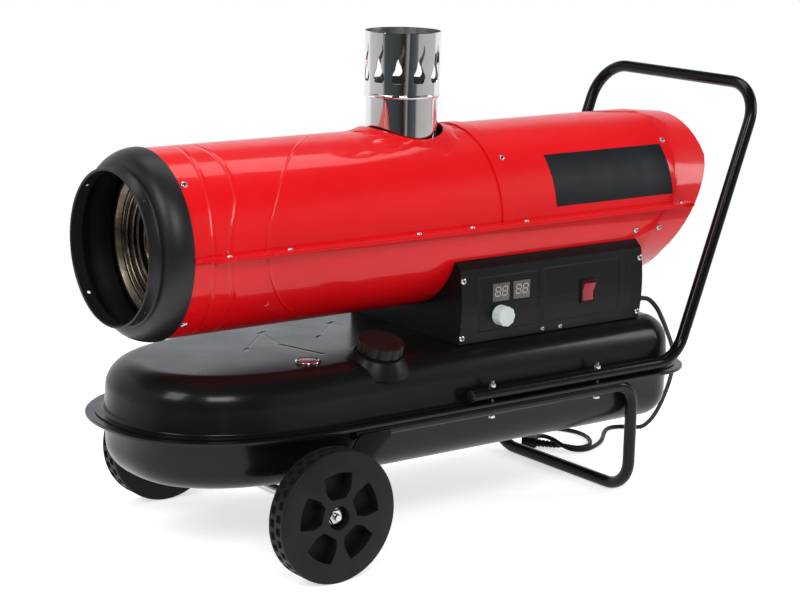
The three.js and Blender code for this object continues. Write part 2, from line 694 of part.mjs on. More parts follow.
const FUEL_LINE_X = 274;
const FUEL_LINE_Y = 12;
const FUEL_LINE_RADIUS = 3;
function fuelLine() {
  const foot = CABINET_FLOOR_TOP + SEAT_GAP + PUMP.height - 2 + SEAT_GAP;
  const burnerRear = CHAMBER.rear + SEAT_GAP + BURNER.length + SEAT_GAP;
  const portZ = DUCT_Z - 18;
  const corners = [
    [FUEL_LINE_X, FUEL_LINE_Y, foot],
    [FUEL_LINE_X, FUEL_LINE_Y, portZ],
    [burnerRear, FUEL_LINE_Y, portZ],
  ];
  return bentTube(corners, [FUEL_LINE_RADIUS * 4], FUEL_LINE_RADIUS, 10);
}

function ignitionTransformer() {
  const low = CABINET_FLOOR_TOP + SEAT_GAP;
  const { front, rear, halfWidth, height, terminal, terminalZ } = TRANSFORMER;
  const core = box(front, rear, -halfWidth, halfWidth, low, low + height);
  const terminals = [-1, 1].map((side) =>
    alongX(rod(terminal - 9, rear - 8, rear + terminal, 12)).translate([0, side * terminal, low + terminalZ]),
  );
  return union([core, ...terminals]);
}

function cordGland() {
  const seat = CABINET_REAR_X + SEAT_GAP;
  const bore = CORD_RADIUS + SEAT_GAP;
  const outside = [
    [bore, -6],
    [GLAND.radius - 4, -6],
    [GLAND.radius - 4, 0],
    [GLAND.radius, 0],
    [GLAND.radius, 5],
    [GLAND.radius - 2, 7],
    [bore + 1, GLAND.length],
    [bore, GLAND.length],
    [bore, -6],
  ];
  return alongX(turned(outside, 12)).translate([seat, GLAND.y, GLAND.z]);
}

const controls = new THREE.Group();
heater.add(controls);
add(controls, "cabinet", cabinet(), BLACK_SATIN());
add(controls, "control_panel", controlPanel(), BLACK_SATIN());
add(controls, "display_left", displayModule(DISPLAY.leftX), paint(0x6f625e, 0.4, 0));
add(controls, "display_right", displayModule(DISPLAY.rightX), paint(0x6f625e, 0.4, 0));
add(controls, "control_board", controlBoard(), paint(0x1f5a36, 0.6, 0));
add(controls, "thermostat_pot", thermostatPot(), ZINC());
add(controls, "thermostat_knob", thermostatKnob(), paint(0xb9c4bf, 0.45, 0));
add(controls, "switch_bezel", switchBezel(), BLACK_PLASTIC());
add(controls, "power_rocker", powerRocker(), paint(0xc01828, 0.25, 0));
add(controls, "fuel_pump", fuelPump(), ZINC());
add(controls, "fuel_line", fuelLine(), BRASS());
add(controls, "ignition_transformer", ignitionTransformer(), BLACK_PLASTIC());

// ---------------------------------------------------------------- air duct shells
// How far back the duct's rear edge lies at a height above the axis: upright, then slanted, then upright.
function rearEdge(height) {
  const share = THREE.MathUtils.clamp((height - SLANT_BOTTOM) / (SLANT_TOP - SLANT_BOTTOM), 0, 1);
  return THREE.MathUtils.lerp(REAR_BOTTOM_X, REAR_TOP_X, share);
}

const DUCT_SIDES = 44;
// The duct's round skin about the X axis, from a front plane to the slanted, tapered rear edge.
function ductSkin(radius, frontX, rearOvershoot) {
  const ring = (ringRadius, placeX) =>
    circle(DUCT_SIDES, 1).map(([y, z]) => {
      const point = new THREE.Vector3(0, y * ringRadius, z * ringRadius);
      point.x = placeX(z * DUCT_RADIUS);
      return point;
    });
  const slope = TAPER / TAPER_LENGTH;
  return loft([
    ring(radius, () => frontX),
    ring(radius, (height) => rearEdge(height) - TAPER_LENGTH),
    ring(radius - TAPER - slope * rearOvershoot, (height) => rearEdge(height) + rearOvershoot),
  ]);
}

const FAR_AWAY = 1000;
const topHalf = () => box(-FAR_AWAY, FAR_AWAY, -FAR_AWAY, FAR_AWAY, SEAT_GAP / 2, FAR_AWAY);
const bottomHalf = () => box(-FAR_AWAY, FAR_AWAY, -FAR_AWAY, FAR_AWAY, -FAR_AWAY, -SEAT_GAP / 2);
const bothSides = (outline, low, high) =>
  union([1, -1].map((side) => slab(outline.map(([x, y]) => [x, side * y]), low, high)));

// The side lip that the shells are screwed together by: narrow at the outlet, then full width.
function frontLip(endX, low, high) {
  const root = DUCT_RADIUS - DUCT_SHEET / 2;
  const outline = [
    [DUCT_FRONT_X, root],
    [DUCT_FRONT_X, DUCT_RADIUS + 5],
    [LIP_STEP_X - 12, DUCT_RADIUS + 5],
    [LIP_STEP_X, LIP_HALF_WIDTH],
    [endX, LIP_HALF_WIDTH],
    [endX, root],
  ];
  return bothSides(outline, low, high);
}

function ductLowerShell() {
  const skin = ductSkin(DUCT_RADIUS, DUCT_FRONT_X, 0);
  const inside = ductSkin(DUCT_RADIUS - DUCT_SHEET, DUCT_FRONT_X - 10, 10);
  const half = cut(skin, [inside]).intersect(bottomHalf());
  const lip = frontLip(LIP_REAR_X, -SEAT_GAP / 2 - LIP_THICKNESS, -SEAT_GAP / 2);
  const lineHole = rod(FUEL_LINE_RADIUS + 2, -FAR_AWAY, 0, 12).translate([FUEL_LINE_X, FUEL_LINE_Y, 0]);
  return cut(half.add(cut(lip, [inside])), [lineHole]);
}

// A ring of the flared collar round the flue hole, laid on the duct's round skin.
function collarRing(radius, rise) {
  return circle(24, radius).map(([x, y]) => {
    const z = Math.sqrt(DUCT_RADIUS ** 2 - y ** 2) + rise;
    return new THREE.Vector3(FLUE.x + x, y, z);
  });
}

function ductUpperFront() {
  const end = DUCT_SEAM_X + SEAM_LAP - SEAT_GAP;
  const skin = alongX(rod(DUCT_RADIUS, DUCT_FRONT_X, end, DUCT_SIDES));
  const inside = alongX(rod(DUCT_RADIUS - DUCT_SHEET, DUCT_FRONT_X - 5, end + 5, DUCT_SIDES));
  const half = cut(skin, [inside]).intersect(topHalf());
  const lip = frontLip(DUCT_SEAM_X - SEAT_GAP, SEAT_GAP / 2, SEAT_GAP / 2 + LIP_THICKNESS);
  const under = -DUCT_SHEET;
  const flare = loft([
    collarRing(COLLAR.foot, under),
    collarRing(COLLAR.foot, 0.1),
    collarRing((COLLAR.foot + COLLAR.hole) / 2, COLLAR.rise * 0.4),
    collarRing(COLLAR.hole + 3, COLLAR.rise),
    collarRing(COLLAR.hole, COLLAR.rise),
  ]);
  const hollow = loft([
    collarRing(COLLAR.foot - 2, under * 6),
    collarRing(COLLAR.foot - 2, under),
    collarRing((COLLAR.foot + COLLAR.hole) / 2, COLLAR.rise * 0.4 + under),
    collarRing(COLLAR.hole + 3, COLLAR.rise + under),
  ]);
  const hole = rod(COLLAR.hole, 0, FAR_AWAY, 24).translate([FLUE.x, 0, 0]);
  return cut(union([half, cut(lip, [inside]), flare]), [hollow, hole]);
}

function ductUpperRear() {
  const joggle = DUCT_SEAM_X + SEAM_LAP;
  const bandInner = DUCT_RADIUS + SEAT_GAP;
  const bandOuter = bandInner + DUCT_SHEET;
  const band = alongX(ringOf(bandInner, bandOuter, DUCT_SEAM_X, joggle + DUCT_SHEET, DUCT_SIDES));
  const step = alongX(ringOf(DUCT_RADIUS - DUCT_SHEET, bandOuter, joggle, joggle + DUCT_SHEET, DUCT_SIDES));
  const skin = ductSkin(DUCT_RADIUS, joggle, 0);
  const inside = ductSkin(DUCT_RADIUS - DUCT_SHEET, joggle - 10, 10);
  const low = SEAT_GAP / 2;
  const lip = bothSides(
    [
      [DUCT_SEAM_X, bandInner + 1],
      [DUCT_SEAM_X, LIP_HALF_WIDTH],
      [LIP_REAR_X, LIP_HALF_WIDTH],
      [LIP_REAR_X, DUCT_RADIUS - DUCT_SHEET / 2],
      [joggle + 1, DUCT_RADIUS - DUCT_SHEET / 2],
      [joggle + 1, bandInner + 1],
    ],
    low,
    low + LIP_THICKNESS,
  );
  const round = union([band, step, cut(skin, [inside])]).intersect(topHalf());
  return round.add(cut(lip, [ductSkin(DUCT_RADIUS - DUCT_SHEET, -FAR_AWAY, 10)]));
}

const CONE_FRONT_X = DUCT_FRONT_X - SEAT_GAP - DOME_DEPTH;
// The domed ring that closes the duct's front; its collar slides into the duct.
function outletCone() {
  const domeEnd = DUCT_FRONT_X - SEAT_GAP;
  const foot = SPIGOT_RADIUS + 3;
  const dome = (shrink) =>
    Array.from({ length: 5 }, (_, k) => {
      const angle = (Math.PI / 2) * (k / 4);
      const radius = foot + (DOME_RADIUS - foot) * Math.sin(angle);
      return [radius - shrink, domeEnd - DOME_DEPTH * Math.cos(angle) + shrink];
    });
  const collarOuter = DUCT_RADIUS - DUCT_SHEET - 0.5;
  const collarEnd = domeEnd + 22;
  const inner = dome(CONE_SHEET);
  const outside = [
    [SPIGOT_RADIUS - CONE_SHEET, CONE_FRONT_X],
    ...dome(0),
    [collarOuter, domeEnd],
    [collarOuter, collarEnd],
    [collarOuter - CONE_SHEET, collarEnd],
    [collarOuter - CONE_SHEET, domeEnd - 1],
    inner[3],
    inner[1],
    [SPIGOT_RADIUS - CONE_SHEET, CONE_FRONT_X],
  ];
  return alongX(turned(outside, 36));
}

// The short round neck in front of the cone, with a bead at its rim and four holes for a hose's screws.
function outletSpigot() {
  const end = CONE_FRONT_X - SEAT_GAP;
  const rimX = CONE_FRONT_X - SPIGOT_LENGTH;
  const inner = SPIGOT_RADIUS - CONE_SHEET;
  const outside = [
    [inner, rimX + 1],
    [SPIGOT_RADIUS, rimX],
    [SPIGOT_RADIUS + 2, rimX + 2.5],
    [SPIGOT_RADIUS, rimX + 5],
    [SPIGOT_RADIUS, end],
    [inner, end],
    [inner, rimX + 1],
  ];
  const holes = [45, 135, 225, 315].map((degrees) =>
    rod(3, SPIGOT_RADIUS - 10, SPIGOT_RADIUS + 10, 6)
      .rotate([degrees, 0, 0])
      .translate([rimX + SPIGOT_LENGTH / 2 + 2, 0, 0]),
  );
  return cut(alongX(turned(outside, 36)), holes);
}

add(duct, "duct_lower_shell", ductLowerShell(), RED_PAINT());
add(duct, "duct_upper_front", ductUpperFront(), RED_PAINT());
add(duct, "duct_upper_rear", ductUpperRear(), RED_PAINT());
add(duct, "outlet_cone", outletCone(), BLACK_SATIN());
add(duct, "outlet_spigot", outletSpigot(), BLACK_SATIN());

// ---------------------------------------------------------------- burner and heat exchanger
// A pressed plate of even thickness, turned about the X axis from a line of [radius, x] pairs.
function pressedPlate(line, sheet, sides) {
  const back = line.map(([radius, x]) => [radius, x + sheet]).reverse();
  return alongX(turned([...line, ...back, line[0]], sides));
}

// The exchanger is a hollow ring of sheet round the chamber: hot gas enters by the transfer duct and
// leaves by the flue.
const OUTER_RIM_X = EXCHANGER.front + 14;
const INNER_RIM_X = EXCHANGER.front + 18;
const EXCHANGER_WALL_END = EXCHANGER.rear - EXCHANGER.sheet - SEAT_GAP;

function exchangerWall(inner, outer, rimX, port) {
  const start = rimX + EXCHANGER.sheet + SEAT_GAP;
  return cut(alongX(ringOf(inner, outer, start, EXCHANGER_WALL_END, EXCHANGER_SIDES)), [port]);
}

function heatExchanger() {
  const { outer, inner, sheet } = EXCHANGER;
  const port = rod(FLUE.radius - 2, inner, outer + sheet, 24).translate([FLUE.x, 0, 0]);
  return exchangerWall(outer - sheet, outer, OUTER_RIM_X, port);
}

function exchangerInnerWall() {
  const { outer, inner, sheet } = EXCHANGER;
  const port = rod(TRANSFER.radius - TRANSFER.sheet, inner / 2, outer, 16).rotate([180, 0, 0]);
  return exchangerWall(inner, inner + sheet, INNER_RIM_X, port.translate([TRANSFER.x, 0, 0]));
}

function exchangerFrontPlate() {
  const { front, outer, inner, sheet } = EXCHANGER;
  const line = [
    [outer, OUTER_RIM_X],
    [outer - 10, front],
    [outer - 16, front + 5],
    [(outer + inner) / 2, front + 9],
    [inner, INNER_RIM_X],
  ];
  return pressedPlate(line, sheet, EXCHANGER_SIDES);
}

function exchangerRearPlate() {
  const { rear, outer, inner, sheet } = EXCHANGER;
  return alongX(ringOf(inner, outer, rear - sheet, rear, EXCHANGER_SIDES));
}

// The chamber is a tube with a pressed front plate and a round mouth for the burner head.
const CHAMBER_RIM_X = CHAMBER.front + 14;
function combustionChamber() {
  const { rear, radius, sheet, mouth } = CHAMBER;
  const start = CHAMBER_RIM_X + sheet + SEAT_GAP;
  const shell = [
    [radius - sheet, start],
    [radius, start],
    [radius, rear],
    [mouth, rear],
    [mouth, rear - sheet],
    [radius - sheet, rear - sheet],
    [radius - sheet, start],
  ];
  const outlet = rod(TRANSFER.radius - TRANSFER.sheet, 40, 80, 16).rotate([180, 0, 0]);
  return cut(alongX(turned(shell, 24)), [outlet.translate([TRANSFER.x, 0, 0])]);
}

function chamberFront() {
  const { front, radius, sheet } = CHAMBER;
  const line = [
    [0, front + 12],
    [20, front + 12],
    [28, front + 5],
    [40, front + 8],
    [radius - 10, front],
    [radius, CHAMBER_RIM_X],
  ];
  return pressedPlate(line, sheet, 24);
}

// The short duct between chamber and exchanger, shaped to both round walls.
function transferDuct() {
  const { x, radius, sheet } = TRANSFER;
  const pipe = ringOf(radius - sheet, radius, -EXCHANGER.inner - 10, 0, 16).translate([x, 0, 0]);
  const reachRadius = (EXCHANGER.inner - SEAT_GAP) * Math.cos(Math.PI / EXCHANGER_SIDES);
  const reach = alongX(rod(reachRadius, x - 2 * radius, x + 2 * radius, EXCHANGER_SIDES));
  const chamber = alongX(rod(CHAMBER.radius + SEAT_GAP, x - 2 * radius, x + 2 * radius, 24));
  return cut(pipe.intersect(reach), [chamber]);
}

function cradle(x) {
  const outer = (DUCT_RADIUS - DUCT_SHEET - SEAT_GAP) * Math.cos(Math.PI / DUCT_SIDES);
  const inner = EXCHANGER.outer + SEAT_GAP;
  const arch = alongX(ringOf(inner, outer, x, x + CRADLE.thickness, EXCHANGER_SIDES));
  const wedge = [
    [0, 0],
    [-FAR_AWAY * Math.sin(CRADLE.halfAngle), -FAR_AWAY * Math.cos(CRADLE.halfAngle)],
    [FAR_AWAY * Math.sin(CRADLE.halfAngle), -FAR_AWAY * Math.cos(CRADLE.halfAngle)],
  ];
  return arch.intersect(beam(wedge, x - 1, x + CRADLE.thickness + 1));
}

const BURNER_FRONT = CHAMBER.rear + SEAT_GAP;
const RIM = { width: 12, thickness: 4 };
const NOZZLE = { seat: 9, tip: 3, body: 7, tipLength: 4, bodyLength: 16, diffuser: 32, sheet: 2 };
function burnerHead() {
  const { radius, length, sheet } = BURNER;
  const end = BURNER_FRONT + length;
  const rimEnd = BURNER_FRONT + RIM.thickness;
  const can = [
    [radius - sheet, rimEnd],
    [radius - sheet, BURNER_FRONT],
    [radius + RIM.width, BURNER_FRONT],
    [radius + RIM.width, rimEnd],
    [radius, rimEnd],
    [radius, end],
    [NOZZLE.seat, end],
    [NOZZLE.seat, end - sheet],
    [radius - sheet, end - sheet],
    [radius - sheet, rimEnd],
  ];
  const vents = Array.from({ length: 4 }, (_, k) =>
    rod(8, 0, radius + 10, 8).rotate([90 * k + 45, 0, 0]).translate([BURNER_FRONT + 28, 0, 0]),
  );
  const oilPort = alongX(rod(2, end - 10, end + 10, 10)).translate([0, FUEL_LINE_Y, -18]);
  return cut(alongX(turned(can, 18)), [...vents, oilPort]);
}

// The oil nozzle on its stem with a slotted air diffuser, held in the burner head's rear wall.
function nozzleAssembly() {
  const { seat, tip, body, tipLength, bodyLength, diffuser, sheet } = NOZZLE;
  const tipX = BURNER_FRONT - tipLength;
  const discX = BURNER_FRONT + bodyLength;
  const stemEnd = BURNER_FRONT + BURNER.length + tipLength;
  const stem = [
    [0, tipX],
    [tip, tipX],
    [body, BURNER_FRONT + tipLength],
    [body, discX],
    [diffuser, discX],
    [diffuser, discX + sheet],
    [seat - SEAT_GAP, discX + sheet],
    [seat - SEAT_GAP, stemEnd],
    [0, stemEnd],
  ];
  return alongX(turned(stem, 20));
}

function fan() {
  const { front, hubRadius, hubLength, hubNose, tipRadius, blades, pitch } = FAN;
  const hubEnd = front + hubLength;
  const hubProfile = [
    [0, front],
    [hubRadius - hubNose, front],
    [hubRadius, front + hubNose],
    [hubRadius, hubEnd],
    [0, hubEnd],
  ];
  const { chord, halfSheet, root, leadCorner, trailCorner } = BLADE;
  const bladeOutline = [
    [-chord * 0.55, hubRadius - root],
    [chord * 0.55, hubRadius - root],
    [chord, tipRadius - leadCorner],
    [chord * 0.8, tipRadius],
    [-chord * 0.7, tipRadius],
    [-chord, tipRadius - trailCorner],
  ];
  const blade = plate(bladeOutline, -halfSheet, halfSheet)
    .rotate([0, 0, THREE.MathUtils.radToDeg(Math.PI / 2 - pitch)]);
  const ring = Array.from({ length: blades }, (_, k) =>
    blade.rotate([(360 / blades) * k, 0, 0]).translate([front + hubLength / 2, 0, 0]),
  );
  const shaft = alongX(rod(MOTOR.shaft, hubEnd - root, MOTOR.front + MOTOR.shaftDepth - 2, 20));
  return union([alongX(turned(hubProfile, 20)), ...ring, shaft]);
}

function fanMotor() {
  const { front, rear, radius, shaft, boss, shaftDepth } = MOTOR;
  const can = [
    [0, front],
    [boss, front],
    [boss, front + 5],
    [radius - 6, front + 5],
    [radius, front + 12],
    [radius, rear - 8],
    [radius - 6, rear],
    [0, rear],
  ];
  const bore = alongX(rod(boreFor(shaft, RUNNING_GAP, 20), front - 5, front + shaftDepth, 20));
  return cut(alongX(turned(can, 24)), [bore]);
}

// A clamp round the motor with four arms that end in feet against the duct's inside.
function motorBracket() {
  const { setback, length, sheet, foot, footSheet, footOverhang } = MOTOR_CLAMP;
  const low = MOTOR.front + setback;
  const high = low + length;
  const inner = MOTOR.radius + SEAT_GAP;
  const footReach = (DUCT_RADIUS - DUCT_SHEET - SEAT_GAP) * Math.cos(Math.PI / DUCT_SIDES);
  const band = ringOf(inner, inner + sheet, low, high, 24);
  const shoe = ringOf(footReach - footSheet, footReach, low - footOverhang, high + footOverhang, DUCT_SIDES);
  const arms = [45, 135, 225, 315].map((degrees) => {
    const arm = box(inner + sheet / 2, footReach - 1, -sheet / 2, sheet / 2, low, high);
    const pad = shoe.intersect(box(inner, FAR_AWAY, -foot / 2, foot / 2, 0, FAR_AWAY));
    return arm.add(pad).rotate([0, 0, degrees]);
  });
  return alongX(union([band, ...arms]));
}

// A stamped guard: a disc with rings of wide slots, trimmed to the duct's tapered inside.
function rearGuard() {
  const { x, thickness, rings, slots, bar, hub } = GUARD;
  const reach = DUCT_RADIUS - DUCT_SHEET - TAPER - GUARD.rim;
  const pitch = (reach - hub) / rings;
  const slotAt = (ring, k) => {
    const low = hub + pitch * ring + bar;
    const high = hub + pitch * (ring + 1);
    const spread = (radius) => Math.PI / slots - bar / 2 / radius;
    const corner = (radius, side) => [
      radius * Math.cos(side * spread(radius)),
      radius * Math.sin(side * spread(radius)),
    ];
    const outline = [corner(low, -1), corner(high, -1), corner(high, 1), corner(low, 1)];
    return slab(outline, -1, thickness + 1).rotate([0, 0, (360 / slots) * k]);
  };
  const openings = [];
  for (let ring = 0; ring < rings; ring++) for (let k = 0; k < slots; k++) openings.push(slotAt(ring, k));
  const disc = cut(rod(DUCT_RADIUS, 0, thickness, DUCT_SIDES), [union(openings)]);
  const trimmed = alongX(disc).translate([x, 0, 0]);
  return trimmed.intersect(ductSkin(DUCT_RADIUS - DUCT_SHEET - SEAT_GAP, DUCT_FRONT_X, 0));
}

add(duct, "heat_exchanger", heatExchanger(), HEATED_STEEL());
add(duct, "exchanger_inner_wall", exchangerInnerWall(), HEATED_STEEL());
add(duct, "exchanger_front_plate", exchangerFrontPlate(), HEATED_STEEL());
add(duct, "exchanger_rear_plate", exchangerRearPlate(), HEATED_STEEL());
add(duct, "combustion_chamber", combustionChamber(), HEATED_STEEL());
add(duct, "chamber_front", chamberFront(), HEATED_STEEL());
add(duct, "transfer_duct", transferDuct(), HEATED_STEEL());
add(duct, "exchanger_cradle_front", cradle(CRADLE.frontX), HEATED_STEEL());
add(duct, "exchanger_cradle_rear", cradle(CRADLE.rearX), HEATED_STEEL());
add(duct, "burner_head", burnerHead(), ZINC());
add(duct, "nozzle_assembly", nozzleAssembly(), BRASS());
add(duct, "fan", fan(), ZINC());
add(duct, "fan_motor", fanMotor(), BLACK_SATIN());
add(duct, "motor_bracket", motorBracket(), ZINC());
add(duct, "rear_guard", rearGuard(), BLACK_SATIN());

// ---------------------------------------------------------------- flue
const COWL_FOOT_Z = FLUE.top - COWL_HEIGHT;
function fluePipe() {
  const low = DUCT_Z + EXCHANGER.outer / 2;
  const pipe = ringOf(FLUE.radius - FLUE.sheet, FLUE.radius, low, COWL_FOOT_Z + COWL_LAP, 28);
  const drumHalf = 1.5 * FLUE.radius;
  const drum = alongX(rod(EXCHANGER.outer + SEAT_GAP, -drumHalf, drumHalf, EXCHANGER_SIDES));
  return cut(pipe, [drum.translate([0, 0, DUCT_Z])]).translate([FLUE.x, 0, 0]);
}

// A flame's outline, anticlockwise from the foot, with a tip that leans to one side.
function flameOutline() {
  const right = [[6, 0], [10.5, 9], [5.5, 26], [9, 44]];
  const left = [[-5, 34], [-4.5, 24], [-10, 9], [-6, 0]];
  return [...right, [7, 63], ...left];
}

function flueCowl() {
  const { top, sheet } = FLUE;
  const foot = COWL_FOOT_Z;
  const wall = [
    [COWL_FOOT_RADIUS - sheet, foot],
    [COWL_FOOT_RADIUS, foot],
    [COWL_FOOT_RADIUS, foot + 3],
    [COWL_FOOT_RADIUS + 2, foot + 5.5],
    [COWL_FOOT_RADIUS, foot + 8],
    [COWL_TOP_RADIUS, top],
    [COWL_TOP_RADIUS - sheet, top],
    [COWL_FOOT_RADIUS - sheet, foot + 8],
    [COWL_FOOT_RADIUS - sheet, foot],
  ];
  const flame = plate(flameOutline(), -COWL_TOP_RADIUS - 10, -COWL_FOOT_RADIUS + 22);
  const flames = Array.from({ length: FLAMES }, (_, k) =>
    flame.translate([0, 0, foot + FLAME_SETBACK]).rotate([0, 0, (360 / FLAMES) * k - 10]),
  );
  return cut(turned(wall, 22), flames).translate([FLUE.x, 0, 0]);
}

add(heater, "flue_pipe", fluePipe(), STAINLESS());
add(heater, "flue_cowl", flueCowl(), STAINLESS());

// ---------------------------------------------------------------- handle, leg and bolts
const PLUG_DEPTH = 16;
const PLUG_RADIUS = 7.5;
function handle() {
  const corners = [
    [HANDLE_FOOT_X, -TUBE_Y, HANDLE_Z],
    [HANDLE_BEND_X, -TUBE_Y, HANDLE_Z],
    [HANDLE_TOP.x, -TUBE_Y, HANDLE_TOP.z],
    [HANDLE_TOP.x, TUBE_Y, HANDLE_TOP.z],
    [HANDLE_BEND_X, TUBE_Y, HANDLE_Z],
    [HANDLE_FOOT_X, TUBE_Y, HANDLE_Z],
  ];
  const radii = [HANDLE_LOWER_BEND, HANDLE_UPPER_BEND, HANDLE_UPPER_BEND, HANDLE_LOWER_BEND];
  const ends = [-TUBE_Y, TUBE_Y].map((y) =>
    alongX(rod(PLUG_RADIUS + SEAT_GAP, -5, PLUG_DEPTH + 1, 12)).translate([HANDLE_FOOT_X, y, HANDLE_Z]),
  );
  const holes = boltHoles(HANDLE_Z - 2 * TUBE_RADIUS, HANDLE_Z + 2 * TUBE_RADIUS);
  return cut(bentTube(corners, radii, TUBE_RADIUS, 12), [...ends, ...holes]);
}

function handlePlug() {
  const cap = [
    [0, PLUG_DEPTH],
    [PLUG_RADIUS, PLUG_DEPTH],
    [PLUG_RADIUS, -SEAT_GAP],
    [TUBE_RADIUS, -SEAT_GAP],
    [TUBE_RADIUS, -3],
    [TUBE_RADIUS - 2, -4.5],
    [0, -4.5],
  ];
  return alongX(turned(cap, 12));
}

function legFrame() {
  const corners = [
    [LEG_FRONT_X, -TUBE_Y, LEG_Z],
    [LEG_BEND_X, -TUBE_Y, LEG_Z],
    [LEG_FLOOR.x, -LEG_FLOOR.y, TUBE_RADIUS - LEG_FLOOR.flat],
    [LEG_FLOOR.x, LEG_FLOOR.y, TUBE_RADIUS - LEG_FLOOR.flat],
    [LEG_BEND_X, TUBE_Y, LEG_Z],
    [LEG_FRONT_X, TUBE_Y, LEG_Z],
  ];
  const radii = [LEG_UPPER_BEND, LEG_LOWER_BEND, LEG_LOWER_BEND, LEG_UPPER_BEND];
  const holes = boltHoles(LEG_Z - 2 * TUBE_RADIUS, LEG_Z + 2 * TUBE_RADIUS);
  const floor = box(-FAR_AWAY, FAR_AWAY, -FAR_AWAY, FAR_AWAY, -FAR_AWAY, 0);
  return cut(bentTube(corners, radii, TUBE_RADIUS, 12), [...holes, floor]);
}

// A through bolt: its nut sits on the handle, its head under the leg frame's side tube.
function frameBolt() {
  const headTop = LEG_Z - TUBE_RADIUS - SEAT_GAP;
  const nutFoot = HANDLE_Z + TUBE_RADIUS + SEAT_GAP;
  return union([
    rod(BOLT_RADIUS, headTop - 2, nutFoot + 10, 8),
    slab(circle(6, 5.8), headTop - 4, headTop),
    slab(circle(6, 5.8), nutFoot, nutFoot + 5),
  ]);
}

// A plate from the front end of a leg frame's side tube down to the axle, with a round upper corner.
function axleBracket() {
  const { thickness, corner, eye, front, rear, height } = BRACKET;
  const head = LEG_Z + 1.45;
  const top = { x: LEG_FRONT_X + front, z: head - corner };
  const outline = [[LEG_FRONT_X + rear, head], [top.x, head]];
  for (let k = 1; k <= 5; k++) {
    const angle = Math.PI / 2 + (k * Math.PI) / 12;
    outline.push([top.x + corner * Math.cos(angle), top.z + corner * Math.sin(angle)]);
  }
  for (let k = 0; k <= 8; k++) {
    const angle = 2.6 + (k * Math.PI) / 8;
    outline.push([AXLE_X + eye * Math.cos(angle), WHEEL_RADIUS + eye * Math.sin(angle)]);
  }
  outline.push([LEG_FRONT_X + rear, head - height]);
  const inner = TUBE_Y + TUBE_RADIUS + SEAT_GAP;
  const hole = alongY(rod(AXLE_RADIUS + SEAT_GAP, 0, FAR_AWAY, 20)).translate([AXLE_X, 0, WHEEL_RADIUS]);
  return cut(plate(outline, inner, inner + thickness), [hole]);
}

const frame = new THREE.Group();
heater.add(frame);
add(frame, "handle", handle(), BLACK_SATIN());
add(frame, "leg_frame", legFrame(), BLACK_SATIN());
for (const [name, side] of [["left", -1], ["right", 1]]) {
  const plug = add(frame, `handle_plug_${name}`, handlePlug(), BLACK_PLASTIC());
  plug.position.set(HANDLE_FOOT_X, side * TUBE_Y, HANDLE_Z);
  const bracket = side > 0 ? axleBracket() : axleBracket().mirror([0, 1, 0]);
  add(frame, `axle_bracket_${name}`, bracket, BLACK_SATIN());
  BOLT_XS.forEach((x, k) => {
    const bolt = add(frame, `frame_bolt_${name}_${k + 1}`, frameBolt(), ZINC());
    bolt.position.set(x, side * TUBE_Y, 0);
  });
}

// ---------------------------------------------------------------- axle and wheels
// The axle is a smooth rod between the wheels with a threaded stub in each hub recess.
const RECESS_FLOOR_Y = WHEEL_OUTER_Y - HUB_RECESS.depth;
const STUB_RADIUS = 5;
function axle() {
  const shoulder = RECESS_FLOOR_Y + SEAT_GAP;
  const end = WHEEL_OUTER_Y - 2;
  const profile = [
    [0, -end],
    [STUB_RADIUS, -end],
    [STUB_RADIUS, -shoulder],
    [AXLE_RADIUS, -shoulder],
    [AXLE_RADIUS, shoulder],
    [STUB_RADIUS, shoulder],
    [STUB_RADIUS, end],
    [0, end],
  ];
  return alongY(turned(profile, 20));
}

// A wheel about the Y axis with its outer face towards +Y, measured from the middle of the heater.
function wheel() {
  const inner = WHEEL_INNER_Y;
  const outer = WHEEL_OUTER_Y;
  const bevel = 3;
  const profile = [
    [0, inner],
    [WHEEL_RADIUS - bevel, inner],
    [WHEEL_RADIUS, inner + bevel],
    [WHEEL_RADIUS, outer - bevel],
    [WHEEL_RADIUS - bevel, outer],
    [0, outer],
  ];
  const bore = rod(boreFor(AXLE_RADIUS, RUNNING_GAP, 20), inner - 5, outer + 5, 20);
  const recess = rod(HUB_RECESS.radius, RECESS_FLOOR_Y, outer + 5, 20);
  const { count, inner: low, outer: high, depth, halfAngle } = POCKETS;
  const arc = Array.from({ length: 5 }, (_, k) => {
    const angle = halfAngle * (1 - k / 2);
    return [high * Math.cos(angle), high * Math.sin(angle)];
  });
  const outline = [[low, -low * 0.42], ...arc.reverse(), [low, low * 0.42]];
  const pockets = Array.from({ length: count }, (_, k) =>
    slab(outline, outer - depth, outer + 5).rotate([0, 0, POCKETS.first + (360 / count) * k]),
  );
  return alongY(cut(turned(profile, 48), [bore, recess, ...pockets]));
}

function axleNut() {
  const seat = RECESS_FLOOR_Y + SEAT_GAP * 2;
  const washer = rod(NUT.washer, seat, seat + 1.5, 16);
  const hex = slab(circle(6, NUT.radius), seat + 1, seat + NUT.height);
  const bore = rod(STUB_RADIUS + SEAT_GAP, seat - 5, seat + 20, 16);
  return alongY(cut(washer.add(hex), [bore]));
}

const running = new THREE.Group();
running.position.set(AXLE_X, 0, WHEEL_RADIUS);
heater.add(running);
add(running, "axle", axle(), ZINC());
for (const [name, turn] of [["right", 0], ["left", Math.PI]]) {
  add(running, `wheel_${name}`, wheel(), BLACK_PLASTIC()).rotation.z = turn;
  add(running, `axle_nut_${name}`, axleNut(), ZINC()).rotation.z = turn;
}

